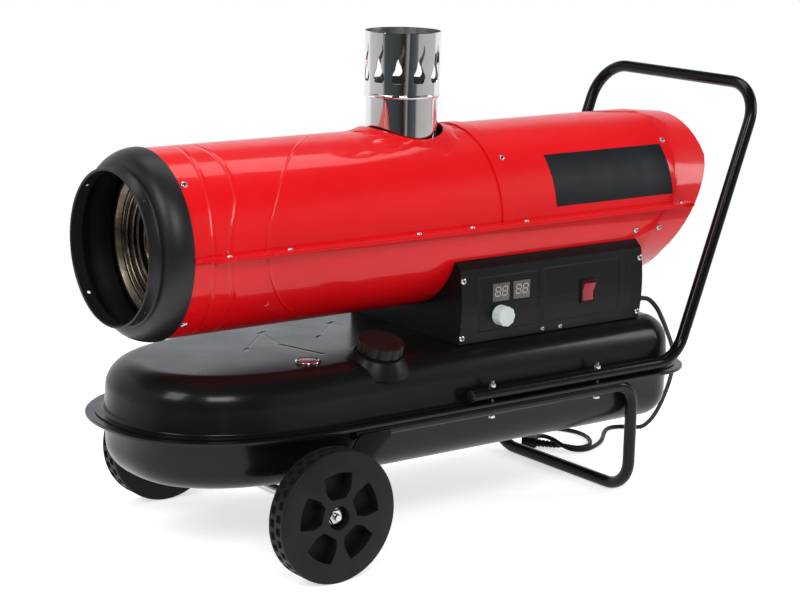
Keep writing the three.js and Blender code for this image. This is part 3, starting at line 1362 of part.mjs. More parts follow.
// ---------------------------------------------------------------- cord and plug
// The cord's places between the gland and the plug: it hangs down behind the tank, lies in a loop on the
// floor and passes over the plug's own strain relief.
const CORD_START = [CABINET_REAR_X + SEAT_GAP + GLAND.length + SEAT_GAP, GLAND.y, GLAND.z];
const CORD_ROUTE = [
  [411, -108, 311.5],
  [432, -106, 295],
  [455, -98, 270],
  [480, -87, 241],
  [511, -69, 206],
  [538, -45, 171],
  [562, -15, 132],
  [579, 15, 93],
  [592, 46, 54],
  [600, 74, 26],
  [603, 96, 11],
  [602, 112, 6.5],
  [595, 127, 4.8],
  [583, 136, 4.4],
  [568, 139, 4.4],
  [552, 134, 4.4],
  [531, 118, 4.4],
  [510, 98, 4.4],
  [487, 79, 4.4],
  [462, 65, 4.4],
  [438, 57, 4.4],
  [420, 59, 4.6],
  [406, 68, 6.5],
  [397, 83, 12],
  [393, 101, 18],
  [391, 123, 19],
  [396, 148, 12],
  [406, 174, 5],
  [423, 196, 4.4],
  [450, 203, 4.4],
  [475, 190, 4.4],
  [489, 166, 4.4],
  [493, 140, 4.4],
  [486, 112, 4.4],
  [473, 91, 4.4],
  [459, 77, 4.4],
  [443, 70, 4.4],
  [427, 71, 4.8],
  [416.5, 77.5, 6],
];
function powerCord() {
  const plugRear = plugPoint(PLUG.length / 2 + PLUG.relief + SEAT_GAP);
  const lead = plugPoint(PLUG.length / 2 + PLUG.relief + 12);
  const places = [CORD_START, ...CORD_ROUTE, lead, plugRear];
  const points = places.map((place) => new THREE.Vector3(...place));
  const path = new THREE.CatmullRomCurve3(points, false, "centripetal");
  return tube(path, CORD_RADIUS, 8, CORD_STEPS);
}

// A place on the strain relief's axis, behind the middle of the plug.
function plugPoint(behind) {
  return [
    PLUG.x - behind * Math.cos(PLUG.heading),
    PLUG.y - behind * Math.sin(PLUG.heading),
    PLUG.axisZ,
  ];
}

// A flat two-pin plug lying on its face side; the cord enters across the direction of the pins.
function mainsPlug() {
  const half = PLUG.length / 2;
  const { width, height, relief, axisZ } = PLUG;
  const corner = 4;
  const outline = [
    [-half, -width / 2 + corner],
    [-half + corner, -width / 2],
    [half - corner, -width / 2],
    [half, -width / 2 + corner],
    [half, width / 2],
    [-half, width / 2],
  ];
  const body = slab(outline, SEAT_GAP, height);
  const ribs = Array.from({ length: 5 }, (_, k) =>
    alongX(rod(6.8 - k * 0.2, 0, 4.5, 10)).translate([-half - 6.5 - 7 * k, 0, axisZ]),
  );
  const core = alongX(rod(5, -relief, 4, 10)).translate([-half, 0, axisZ]);
  const pins = [-9.5, 9.5].map((x) =>
    alongY(rod(2.4, width / 2 - 2, width / 2 + 19, 10)).translate([x * 0.9, 0, height / 2]),
  );
  return union([body, core, ...ribs, ...pins]);
}

add(heater, "cord_gland", cordGland(), BLACK_PLASTIC());
add(heater, "power_cord", powerCord(), paint(0x141414, 0.5, 0));
const plug = add(heater, "mains_plug", mainsPlug(), BLACK_PLASTIC());
plug.position.set(PLUG.x, PLUG.y, 0);
plug.rotation.z = PLUG.heading;

export default heater;
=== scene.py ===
"""Looks of a forced air heater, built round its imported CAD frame. Metres, +Z up, controls on -Y."""

import json
import math

import bmesh
import bpy
from mathutils import Matrix, Vector


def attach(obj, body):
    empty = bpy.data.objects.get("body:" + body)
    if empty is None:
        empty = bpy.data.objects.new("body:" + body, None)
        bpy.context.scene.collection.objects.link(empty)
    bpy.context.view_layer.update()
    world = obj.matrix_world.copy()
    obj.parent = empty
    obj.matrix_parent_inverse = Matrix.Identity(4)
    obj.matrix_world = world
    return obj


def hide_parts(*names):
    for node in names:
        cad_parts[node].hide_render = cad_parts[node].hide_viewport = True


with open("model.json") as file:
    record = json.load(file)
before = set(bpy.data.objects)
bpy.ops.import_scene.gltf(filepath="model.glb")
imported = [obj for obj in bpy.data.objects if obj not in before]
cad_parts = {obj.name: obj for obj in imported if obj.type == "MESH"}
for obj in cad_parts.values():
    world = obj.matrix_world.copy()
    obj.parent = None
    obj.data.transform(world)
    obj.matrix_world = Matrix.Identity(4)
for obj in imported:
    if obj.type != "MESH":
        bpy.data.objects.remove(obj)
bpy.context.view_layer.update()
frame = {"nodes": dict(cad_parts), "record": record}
NODES = frame["nodes"]
BODY_OF = {n: b for b, members in frame["record"]["behaviour"]["bodies"].items() for n in members}
SLOT_OF = {s["node"]: s["material_slot"] for s in frame["record"]["subparts"]}

# ------------------------------------------------------------------ dimensions, as in the CAD
TANK_TOP_Z = 0.295
TANK_BOTTOM_Z = 0.124
TANK_REAR_X = 0.450
TANK_CORNER = 0.085
SEAM_Z = 0.213
FLANGE_HALF_WIDTH = 0.207
WALL_INSET = 0.029
SHOULDER = 0.045
NOSE_START_X = -0.281
NOSE_LENGTH = 0.290
NOSE_EXPONENT = 2.4
FILLER = (-0.176, -0.140, 0.304)
FILLER_TILT = math.radians(16)
GAUGE = (-0.284, -0.107, 0)
DUCT_Z = 0.478
DUCT_RADIUS = 0.141
DUCT_REAR = 0.441
DUCT_REAR_TOP = 0.521
TAPER = 0.007 / 0.075
TAPER_START = 0.36
TAPER_LENGTH = 0.08
SHEET = 0.002
LIP_MIDDLE_Y = 0.152
LIP_TOP_Z = DUCT_Z + 0.0032
FLUE_X = -0.037
FLUE_RADIUS = 0.0566
FLUE_SHEET = 0.0012
PIPE_FOOT_Z = 0.590
PIPE_TOP_Z = 0.690
COWL_Z = 0.668
COWL_TOP_Z = 0.772
AXLE_X = -0.331
BORE_RADIUS = 0.0081
WHEEL_RADIUS = 0.1
WHEEL_INNER = 0.223
WHEEL_OUTER = 0.261
TUBE_RADIUS = 0.01
TUBE_Y = 0.195
HANDLE_Z = 0.22545
LEG_Z = 0.20055
PANEL_Y = -0.145
PANEL_LOW_Z = 0.2953
PANEL_HIGH_Z = 0.413
PANEL_BULGE = 0.006
DISPLAY_FACE_Y = -0.1505
CORD_RADIUS = 0.004


# ------------------------------------------------------------------ mesh helpers
def add_object(name, mesh, material, body="heater", slot=None, stands_for=()):
    obj = bpy.data.objects.new(name, mesh)
    bpy.context.scene.collection.objects.link(obj)
    mesh.materials.clear()
    mesh.materials.append(material)
    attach(obj, body)
    if stands_for:
        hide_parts(*stands_for)
        slot = slot or SLOT_OF[stands_for[0]]
    return obj


def mesh_of(name, points, faces):
    mesh = bpy.data.meshes.new(name)
    mesh.from_pydata([tuple(p) for p in points], [], faces)
    mesh.validate()
    edit = bmesh.new()
    edit.from_mesh(mesh)
    bmesh.ops.remove_doubles(edit, verts=edit.verts, dist=1e-6)
    bmesh.ops.recalc_face_normals(edit, faces=edit.faces)
    edit.to_mesh(mesh)
    edit.free()
    return mesh


def shade(mesh, degrees=32):
    mesh.shade_smooth()
    mesh.set_sharp_from_angle(angle=math.radians(degrees))
    return mesh


def bevel(obj, width, degrees=35):
    """Rounds an object's sharp edges for good, and keeps its flats flat."""
    made = obj.modifiers.new("edges", "BEVEL")
    made.width = width
    made.segments = 2
    made.limit_method = "ANGLE"
    made.angle_limit = math.radians(degrees)
    made.harden_normals = False
    weighted = obj.modifiers.new("normals", "WEIGHTED_NORMAL")
    weighted.keep_sharp = True
    return apply(obj)


def apply(obj):
    """Applies an object's modifiers to its mesh."""
    graph = bpy.context.evaluated_depsgraph_get()
    graph.update()
    mesh = bpy.data.meshes.new_from_object(obj.evaluated_get(graph), depsgraph=graph)
    obj.modifiers.clear()
    obj.data = mesh
    return obj


def circle(radius, sides):
    turns = [2 * math.pi * k / sides for k in range(sides)]
    return [(radius * math.cos(t), radius * math.sin(t)) for t in turns]


def arc(centre, reach, steps, first, last):
    """Points of part of an ellipse, from step first to step last of a quarter turn of so many steps."""
    step = 1 if last >= first else -1
    turns = [k * math.pi / 2 / steps for k in range(first, last + step, step)]
    return [(centre[0] + reach[0] * math.sin(t), centre[1] - reach[1] * math.cos(t)) for t in turns]


def loft(rings, caps=True):
    """Points and faces of a skin over equally long closed rings."""
    count = len(rings[0])
    points = [p for ring in rings for p in ring]
    faces = []
    for level in range(len(rings) - 1):
        for k in range(count):
            a, b = level * count + k, level * count + (k + 1) % count
            faces.append((a, b, b + count, a + count))
    if caps:
        faces.append(tuple(reversed(range(count))))
        faces.append(tuple(range((len(rings) - 1) * count, len(rings) * count)))
    return points, faces


def lathe(profile, sides, closed=False):
    """A profile of (radius, height) turned about Z."""
    stations = profile + [profile[0]] if closed else profile
    rings = [[(x, y, height) for x, y in circle(radius, sides)] for radius, height in stations]
    return loft(rings, caps=False)


def placed(points, matrix):
    return [matrix @ Vector(p) for p in points]


def turned(name, profile, sides, matrix, closed=False):
    """The mesh of a lathed profile, placed."""
    points, faces = lathe(list(profile), sides, closed)
    return mesh_of(name, placed(points, matrix), faces)


def along(axis, origin=(0, 0, 0)):
    """The matrix that lays +Z along a direction, at a place."""
    turn = Vector((0, 0, 1)).rotation_difference(Vector(axis).normalized())
    return Matrix.Translation(origin) @ turn.to_matrix().to_4x4()


def tube(path, radius, sides=20):
    """Points and faces of a capped round tube along a list of points."""
    path = [Vector(p) for p in path]
    ahead = (path[1] - path[0]).normalized()
    side = ahead.orthogonal().normalized()
    rings = []
    for i, place in enumerate(path):
        before = path[max(i - 1, 0)]
        after = path[min(i + 1, len(path) - 1)]
        heading = (after - before).normalized()
        side = ahead.rotation_difference(heading) @ side
        side = (side - heading * side.dot(heading)).normalized()
        ahead = heading
        across = heading.cross(side)
        rings.append([place + side * x + across * y for x, y in circle(radius, sides)])
    return loft(rings)


def rounded(corners, radii, steps=14):
    """A path through corners, each rounded to its radius."""
    corners = [Vector(c) for c in corners]
    path = [corners[0]]
    for i in range(1, len(corners) - 1):
        before = (corners[i] - corners[i - 1]).normalized()
        after = (corners[i + 1] - corners[i]).normalized()
        turn = before.angle(after)
        radius = radii[i - 1]
        start = corners[i] - before * radius * math.tan(turn / 2)
        inward = (after - before * after.dot(before)).normalized()
        for step in range(steps + 1):
            angle = turn * step / steps
            ahead = before * radius * math.sin(angle)
            path.append(start + ahead + inward * radius * (1 - math.cos(angle)))
    path.append(corners[-1])
    return path


def prism(outline, matrix, depth):
    """A flat outline of (x, y) pulled from 0 to depth along Z, then placed."""
    rings = [[(x, y, z) for x, y in outline] for z in (0, depth)]
    points, faces = loft(rings)
    return placed(points, matrix), faces


def joined(parts):
    points, faces = [], []
    for more, shapes in parts:
        start = len(points)
        points += list(more)
        faces += [tuple(start + i for i in face) for face in shapes]
    return points, faces


def subtract(obj, cutters):
    """Cuts a list of (points, faces) out of an object."""
    tool = bpy.data.objects.new("cutter", mesh_of("cutter", *joined(cutters)))
    bpy.context.scene.collection.objects.link(tool)
    cut = obj.modifiers.new("cut", "BOOLEAN")
    cut.operation = "DIFFERENCE"
    cut.object = tool
    cut.solver = "EXACT"
    apply(obj)
    bpy.data.objects.remove(tool)
    return obj


def clean_copy(node):
    """A CAD node's mesh with its flat faces whole again."""
    mesh = NODES[node].data.copy()
    edit = bmesh.new()
    edit.from_mesh(mesh)
    bmesh.ops.remove_doubles(edit, verts=edit.verts, dist=1e-5)
    bmesh.ops.dissolve_limit(edit, angle_limit=math.radians(0.6), verts=edit.verts, edges=edit.edges)
    edit.to_mesh(mesh)
    edit.free()
    return mesh


def dress(node, material, width=0.0, degrees=32):
    """A node's shape with softened edges and its finish."""
    mesh = clean_copy(node)
    obj = add_object(node + "_finish", mesh, material, BODY_OF[node], stands_for=[node])
    if width:
        bevel(obj, width)
    shade(obj.data, degrees)
    return obj


def set_normals(mesh, rule):
    """Exact normals: rule(place, face normal) gives a direction, or None to keep the corner's own."""
    normals = [Vector(c.vector) for c in mesh.corner_normals]
    for face in mesh.polygons:
        for corner in face.loop_indices:
            place = mesh.vertices[mesh.loops[corner].vertex_index].co
            wanted = rule(place, face.normal)
            if wanted is not None:
                normals[corner] = wanted.normalized()
    mesh.normals_split_custom_set([tuple(n) for n in normals])
    return mesh


# ------------------------------------------------------------------ materials
def feed(tree, socket, value):
    """Links another node's output to a socket, or sets the socket's own value."""
    if isinstance(value, bpy.types.NodeSocket):
        tree.links.new(value, socket)
    else:
        socket.default_value = value


def math_node(tree, kind, a, b=0.0, c=0.0):
    node = tree.nodes.new("ShaderNodeMath")
    node.operation = kind
    for socket, value in zip(node.inputs, (a, b, c)):
        feed(tree, socket, value)
    return node.outputs[0]


def mix_node(tree, factor, a, b):
    node = tree.nodes.new("ShaderNodeMix")
    node.data_type = "RGBA"
    for name, value in (("A", a), ("B", b), ("Factor", factor)):
        feed(tree, node.inputs[name], value)
    return node.outputs["Result"]


class Surface:
    """A principled material with a few shorthands for its procedural nodes."""

    def __init__(self, name, color, roughness, metallic=0.0, coat=0.0, coat_roughness=0.05, specular=0.5):
        self.material = bpy.data.materials.new(name)
        self.material.use_nodes = True
        self.nodes = self.material.node_tree.nodes
        self.links = self.material.node_tree.links
        self.shader = self.nodes["Principled BSDF"]
        self.shader.inputs["Base Color"].default_value = (*color, 1)
        self.shader.inputs["Roughness"].default_value = roughness
        self.shader.inputs["Metallic"].default_value = metallic
        self.shader.inputs["Coat Weight"].default_value = coat
        self.shader.inputs["Coat Roughness"].default_value = coat_roughness
        self.shader.inputs["Specular IOR Level"].default_value = specular
        self.color = color
        self.place = self.nodes.new("ShaderNodeTexCoord").outputs["Object"]
        self.height = None

    def math(self, kind, a, b=0.0, c=0.0):
        return math_node(self.material.node_tree, kind, a, b, c)

    def stretched(self, scale):
        node = self.nodes.new("ShaderNodeMapping")
        node.inputs["Scale"].default_value = scale
        self.links.new(self.place, node.inputs["Vector"])
        return node.outputs["Vector"]

    def noise(self, scale, detail=3.0, stretch=None):
        node = self.nodes.new("ShaderNodeTexNoise")
        node.inputs["Scale"].default_value = scale
        node.inputs["Detail"].default_value = detail
        self.links.new(self.stretched(stretch) if stretch else self.place, node.inputs["Vector"])
        return node.outputs["Fac"]

    def spread(self, value, low, high, start=0.3, end=0.7):
        node = self.nodes.new("ShaderNodeMapRange")
        self.links.new(value, node.inputs["Value"])
        for socket, number in zip(("From Min", "From Max", "To Min", "To Max"), (start, end, low, high)):
            node.inputs[socket].default_value = number
        return node.outputs["Result"]

    def tint(self, value, other, start=0.3, end=0.7):
        """Shifts the base colour towards another one where value is high."""
        base = self.shader.inputs["Base Color"]
        own = base.links[0].from_socket if base.is_linked else (*self.color, 1)
        share = self.spread(value, 0, 1, start, end)
        self.links.new(mix_node(self.material.node_tree, share, own, (*other, 1)), base)
        return self

    def rough(self, value, low, high, start=0.3, end=0.7):
        self.links.new(self.spread(value, low, high, start, end), self.shader.inputs["Roughness"])
        return self

    def raise_by(self, value, depth):
        """Adds value, times a depth in metres, to the surface's height."""
        more = self.math("MULTIPLY", value, depth)
        self.height = more if self.height is None else self.math("ADD", self.height, more)
        return self

    def done(self):
        if self.height is not None:
            bump = self.nodes.new("ShaderNodeBump")
            bump.inputs["Distance"].default_value = 1.0
            self.links.new(self.height, bump.inputs["Height"])
            self.links.new(bump.outputs["Normal"], self.shader.inputs["Normal"])
            if self.shader.inputs["Coat Weight"].default_value:
                self.links.new(bump.outputs["Normal"], self.shader.inputs["Coat Normal"])
        return self.material

    def axes(self):
        node = self.nodes.new("ShaderNodeSeparateXYZ")
        self.links.new(self.place, node.inputs[0])
        return node.outputs

    def ridge(self, distance, width):
        """1 on a line and 0 past width, from the distance to the line."""
        near = self.math("DIVIDE", self.math("ABSOLUTE", distance), width)
        node = self.nodes.new("ShaderNodeMapRange")
        node.interpolation_type = "SMOOTHSTEP"
        self.links.new(near, node.inputs["Value"])
        node.inputs["To Min"].default_value = 1
        node.inputs["To Max"].default_value = 0
        return node.outputs["Result"]


# The duct's pressed lines, as (share of the half turn from the top, x), half width and height.
DUCT_LINES = (
    (((0, -0.449), (0.25, -0.461), (0.5, -0.470), (0.75, -0.461), (1, -0.449)), 0.0055, -0.0011),
    (((0, -0.421), (0.28, -0.416), (0.48, -0.444), (0.7, -0.425), (1, -0.416)), 0.0055, -0.0011),
    (((0, -0.213), (0.41, -0.373), (0.475, -0.380), (0.54, -0.379), (0.85, -0.261)), 0.0035, 0.0009),
)
LINES_START = -0.5
LINES_SPAN = 0.4


def pressed_curve(surface, share, line):
    """The x of a pressed line, by its share of the way down the duct's side."""
    curve = surface.nodes.new("ShaderNodeFloatCurve")
    marks = curve.mapping.curves[0].points
    spots = [(t, (x - LINES_START) / LINES_SPAN) for t, x in line]
    marks[0].location, marks[1].location = spots[0], spots[-1]
    for spot in spots[1:-1]:
        marks.new(*spot)
    curve.mapping.update()
    surface.links.new(share, curve.inputs["Value"])
    return surface.math("MULTIPLY_ADD", curve.outputs["Value"], LINES_SPAN, LINES_START)


def red_paint():
    """Gloss stove enamel with the duct's pressed lines, and painted shade: the skin's inside, ahead of the
    taper, tinted near black.
    """
    surface = Surface("red_enamel", (0.70, 0.0028, 0.007), 0.4, coat=0.42, coat_roughness=0.03, specular=0.1)
    surface.rough(surface.noise(40), 0.34, 0.46)
    surface.tint(surface.noise(6, 2), (0.64, 0.002, 0.005))
    x, y, z = surface.axes()
    across = surface.math("POWER", y, 2.0)
    upright = surface.math("POWER", surface.math("SUBTRACT", z, DUCT_Z), 2.0)
    reach = surface.math("SQRT", surface.math("ADD", across, upright))
    inside = surface.math("LESS_THAN", reach, DUCT_RADIUS - SHEET / 2)
    # Painted shade: the inside of the skin, ahead of the taper, is tinted near black.
    painted_inner_shade = surface.math("MULTIPLY", inside, surface.math("LESS_THAN", x, TAPER_START))
    surface.tint(painted_inner_shade, (0.004, 0.0035, 0.003))
    turn = surface.math("ARCTAN2", surface.math("ABSOLUTE", y), surface.math("SUBTRACT", z, DUCT_Z))
    share = surface.math("DIVIDE", turn, math.pi)
    for line, width, height in DUCT_LINES:
        place = pressed_curve(surface, share, line)
        surface.raise_by(surface.ridge(surface.math("SUBTRACT", x, place), width), height)
    surface.raise_by(surface.noise(500, 2), 0.00004)
    surface.raise_by(surface.noise(9, 1), 0.0006)
    return surface.done()


def black_paint(name, level, low, high, grain=0.00003, coat=0.0, specular=0.2):
    """Powder coat: near black, with a fine grain."""
    color = (level, level, level * 1.03)
    surface = Surface(name, color, 0.4, coat=coat, coat_roughness=0.14, specular=specular)
    surface.rough(surface.noise(14, 4), low, high)
    surface.tint(surface.noise(3, 4), (level * 1.6,) * 3)
    surface.raise_by(surface.noise(1400, 2), grain)
    surface.raise_by(surface.noise(18, 2), grain * 6)
    return surface


# The pressed lines on the tank's top, as (x, y) to (x, y), half width and height: two zigzags, then the
# short slots at their ends.
DECK_LINES = (
    (-0.321, 0.006, -0.239, 0.088, 0.0030, -0.0006),
    (-0.239, 0.088, -0.258, 0.005, 0.0030, -0.0006),
    (-0.258, 0.005, -0.237, -0.078, 0.0055, -0.0022),
    (-0.178, 0.017, -0.106, 0.087, 0.0030, -0.0006),
    (-0.106, 0.087, -0.097, 0.065, 0.0030, -0.0006),
    (-0.326, 0.000, -0.316, 0.011, 0.0055, -0.0030),
    (-0.246, 0.084, -0.232, 0.092, 0.0055, -0.0030),
    (-0.182, 0.013, -0.174, 0.021, 0.0055, -0.0030),
    (-0.111, 0.084, -0.100, 0.090, 0.0055, -0.0030),
)
DECK_EDGE = 0.0015


def off_segment(surface, x, y, start, end):
    """The distance of a point from the straight line between two spots."""
    ux, uy = end[0] - start[0], end[1] - start[1]
    length = math.hypot(ux, uy)
    dx = surface.math("SUBTRACT", x, start[0])
    dy = surface.math("SUBTRACT", y, start[1])
    ahead_x = surface.math("MULTIPLY", dx, ux / length)
    ahead_y = surface.math("MULTIPLY", dy, uy / length)
    forward = surface.math("ADD", ahead_x, ahead_y)
    aside_x = surface.math("MULTIPLY", dx, uy / length)
    aside_y = surface.math("MULTIPLY", dy, ux / length)
    sideways = surface.math("SUBTRACT", aside_x, aside_y)
    past = surface.math("SUBTRACT", forward, surface.math("MINIMUM", forward, length))
    short = surface.math("MINIMUM", forward, 0.0)
    aside = surface.math("POWER", sideways, 2.0)
    beyond = surface.math("POWER", surface.math("ADD", past, short), 2.0)
    return surface.math("SQRT", surface.math("ADD", aside, beyond))


def deck_paint():
    """The tank's paint, over the pressed lines of its top."""
    surface = black_paint("tank_paint", 0.004, 0.26, 0.36, coat=0.26, specular=0.08)
    x, y, z = surface.axes()
    top = surface.math("GREATER_THAN", z, TANK_TOP_Z - DECK_EDGE)
    for ax, ay, bx, by, width, height in DECK_LINES:
        off = off_segment(surface, x, y, (ax, ay), (bx, by))
        surface.raise_by(surface.math("MULTIPLY", surface.ridge(off, width), top), height)
    return surface.done()


# The panel's pressed fields, as x and z from and to, and its upright ribs, as x, then z from and to.
PANEL_FIELDS = ((0.009, 0.131, 0.311, 0.399), (0.141, 0.303, 0.311, 0.401))
PANEL_RIBS = ((0.136, 0.300, 0.410), (0.322, 0.312, 0.400))


def past_middle(surface, value, low, high):
    """How far a value lies outside a range, and below 0 within it."""
    off = surface.math("ABSOLUTE", surface.math("SUBTRACT", value, (low + high) / 2))
    return surface.math("SUBTRACT", off, (high - low) / 2)


def panel_paint():
    """The control panel: two shallow pressed fields and two ribs."""
    surface = black_paint("panel_paint", 0.006, 0.34, 0.46, specular=0.14)
    x, y, z = surface.axes()
    for x0, x1, z0, z1 in PANEL_FIELDS:
        edge = surface.math("MAXIMUM", past_middle(surface, x, x0, x1), past_middle(surface, z, z0, z1))
        surface.raise_by(surface.spread(edge, -1.0, 0.0, -0.0022, 0.0), 0.0009)
    for line, low, high in PANEL_RIBS:
        rib = surface.ridge(surface.math("SUBTRACT", x, line), 0.0016)
        above = surface.math("GREATER_THAN", z, low)
        within = surface.math("MULTIPLY", above, surface.math("LESS_THAN", z, high))
        surface.raise_by(surface.math("MULTIPLY", rib, within), 0.0005)
    return surface.done()


def polished_steel():
    """Bright stainless sheet with faint rolling lines and smears."""
    surface = Surface("bright_stainless", (0.86, 0.84, 0.83), 0.05, 1.0)
    surface.rough(surface.noise(25, 4), 0.02, 0.07)
    surface.tint(surface.noise(12, 4), (0.76, 0.74, 0.73))
    surface.raise_by(surface.noise(70, 2, (1, 1, 0.04)), 0.00035)
    surface.raise_by(surface.noise(9, 1), 0.0016)
    return surface.done()


def heated_steel():
    """Oxidised steel: straw to bronze, with darker bands."""
    surface = Surface("heat_tinted_steel", (0.20, 0.165, 0.125), 0.3, 1.0)
    surface.tint(surface.noise(18, 5), (0.08, 0.06, 0.045))
    surface.tint(surface.noise(45, 3), (0.42, 0.37, 0.30), 0.55, 0.8)
    surface.rough(surface.noise(60, 3), 0.22, 0.45)
    surface.raise_by(surface.noise(90, 3), 0.0002)
    return surface.done()


def plated(name, color, low=0.2, high=0.36, grain=0.00006):
    surface = Surface(name, color, 0.3, 1.0)
    surface.rough(surface.noise(80, 4), low, high)
    surface.tint(surface.noise(30, 4), tuple(c * 0.72 for c in color))
    surface.raise_by(surface.noise(700, 3), grain)
    return surface.done()


def plastic(name, color, low=0.35, high=0.55, grain=0.00005, spread=1.5, specular=0.3):
    surface = Surface(name, color, 0.45, specular=specular)
    surface.rough(surface.noise(30, 4), low, high)
    surface.tint(surface.noise(20, 4), tuple(min(1, c * spread) for c in color))
    surface.raise_by(surface.noise(1100, 2), grain)
    return surface.done()


RED = red_paint()
TANK = deck_paint()
BLACK = black_paint("satin_black", 0.005, 0.3, 0.44, specular=0.14).done()
PANEL = panel_paint()
FRAME_BLACK = black_paint("tube_black", 0.003, 0.2, 0.3, coat=0.28, specular=0.05).done()
CONE_BLACK = black_paint("heat_proof_black", 0.005, 0.38, 0.5, grain=0.00006, specular=0.35).done()
STEEL = polished_steel()
SOOTED = plated("sooted_steel", (0.34, 0.33, 0.32), 0.28, 0.5, 0.0002)
HEATED = heated_steel()
ZINC = plated("zinc_plate", (0.62, 0.62, 0.63))
BRASS = plated("brass", (0.50, 0.33, 0.11))
PLASTIC = plastic("moulded_black", (0.0075, 0.006, 0.0058), specular=0.18)
WHEEL_PLASTIC = plastic("wheel_black", (0.0072, 0.0068, 0.0065), 0.42, 0.6, 0.00012, specular=0.16)
KNOB_GREY = plastic("knob_grey", (0.52, 0.58, 0.56), 0.3, 0.45, 0.00003, 1.1)
BOARD_GREEN = plastic("board_green", (0.02, 0.10, 0.04))
DIAL_GLASS = plastic("dial_glass", (0.03, 0.032, 0.035), 0.08, 0.14, 0.00001, 1.3, 0.5)
NEEDLE_GREY = plastic("needle_grey", (0.45, 0.46, 0.47), 0.3, 0.4, 0.00001, 1.1)
SMOKED = plastic("smoked_window", (0.095, 0.083, 0.075), 0.2, 0.3, 0.00002, 1.2)
SEGMENT = plastic("segments", (0.42, 0.40, 0.38), 0.3, 0.4, 0.00001, 1.05)
ROCKER_RED = plastic("rocker_red", (0.27, 0.007, 0.018), 0.12, 0.22, 0.00002, 1.3)
CORD_BLACK = plastic("cord_black", (0.006, 0.006, 0.006), 0.38, 0.55, 0.00008, specular=0.2)
LABEL = plastic("bare_label", (0.007, 0.008, 0.010), 0.4, 0.5, 0.00002, specular=0.15)


# ------------------------------------------------------------------ camera, floor and light
CAMERA_PLACE = (-2.0670, -2.6919, 1.0806)
CAMERA_ANGLES = (-37.0832, 12.3626, 1.1768)
CAMERA_LENS = 97.04
CAMERA_SENSOR = 36


def make_camera():
    """The photograph's camera: degrees round from the front, up, and rolled."""
    azimuth, elevation, roll = (math.radians(a) for a in CAMERA_ANGLES)
    back = Vector((
        math.sin(azimuth) * math.cos(elevation),
        -math.cos(azimuth) * math.cos(elevation),
        math.sin(elevation),
    ))
    right = Vector((math.cos(azimuth), math.sin(azimuth), 0))
    up = back.cross(right)
    tilted_right = right * math.cos(roll) + up * math.sin(roll)
    tilted_up = up * math.cos(roll) - right * math.sin(roll)
    lens = bpy.data.cameras.new("camera")
    lens.lens = CAMERA_LENS
    lens.sensor_width = CAMERA_SENSOR
    camera = bpy.data.objects.new("camera", lens)
    bpy.context.scene.collection.objects.link(camera)
    turn = Matrix((tilted_right, tilted_up, back)).transposed().to_4x4()
    camera.matrix_world = Matrix.Translation(CAMERA_PLACE) @ turn
    bpy.context.scene.camera = camera


WHITE = (1.0, 1.0, 1.0)
COOL = (0.95, 0.99, 1.04)
TEAL = (0.84, 1.0, 1.1)
BROWN = (1.2, 0.9, 0.82)
# What the gloss of the heater sees round it: light walls left and right, the dark of the room on the
# side of the camera with one bright gap, and the white backdrop behind. Each row is an angle in degrees
# round from the photograph's side, a level and a tint.
ROOM = (
    (-180, 1.0, COOL), (-122, 1.0, COOL), (-112, 0.62, WHITE), (-66, 0.50, WHITE), (-54, 0.08, TEAL),
    (-9, 0.05, TEAL), (-4, 0.03, BROWN), (9, 0.02, BROWN), (12, 0.28, WHITE), (17, 0.26, WHITE),
    (20, 0.05, TEAL), (42, 0.10, TEAL), (50, 0.46, WHITE), (112, 0.56, WHITE), (124, 1.0, COOL),
    (180, 1.0, COOL),
)
ROOM_FRONT = (-0.6030, -0.7978)
CEILING = 0.05
CEILING_RISE = (0.42, 0.66)
FILL = 0.55
FLOOR_RADIUS = 1.45
FLOOR_SIDES = 96
FLOOR_COLOR = 0.85
FLOOR_LIFT = 0.62


def make_floor():
    """A pale floor that stays white away from the heater and keeps its soft shadow."""
    rim = [(x, y, 0) for x, y in circle(FLOOR_RADIUS, FLOOR_SIDES)]
    floor = bpy.data.objects.new("floor", mesh_of("floor", rim, [tuple(range(FLOOR_SIDES))]))
    bpy.context.scene.collection.objects.link(floor)
    material = bpy.data.materials.new("pale_floor")
    material.use_nodes = True
    tree = material.node_tree
    shader = tree.nodes["Principled BSDF"]
    shader.inputs["Base Color"].default_value = (FLOOR_COLOR, FLOOR_COLOR, FLOOR_COLOR, 1)
    shader.inputs["Roughness"].default_value = 0.8
    shader.inputs["Specular IOR Level"].default_value = 0.1
    path = tree.nodes.new("ShaderNodeLightPath")
    seen = path.outputs["Is Camera Ray"]
    for other in ("Is Glossy Ray", "Is Transmission Ray"):
        seen = math_node(tree, "MAXIMUM", seen, path.outputs[other])
    lift = math_node(tree, "MULTIPLY", seen, FLOOR_LIFT)
    shader.inputs["Emission Color"].default_value = (1, 1, 1, 1)
    tree.links.new(lift, shader.inputs["Emission Strength"])
    floor.data.materials.append(material)


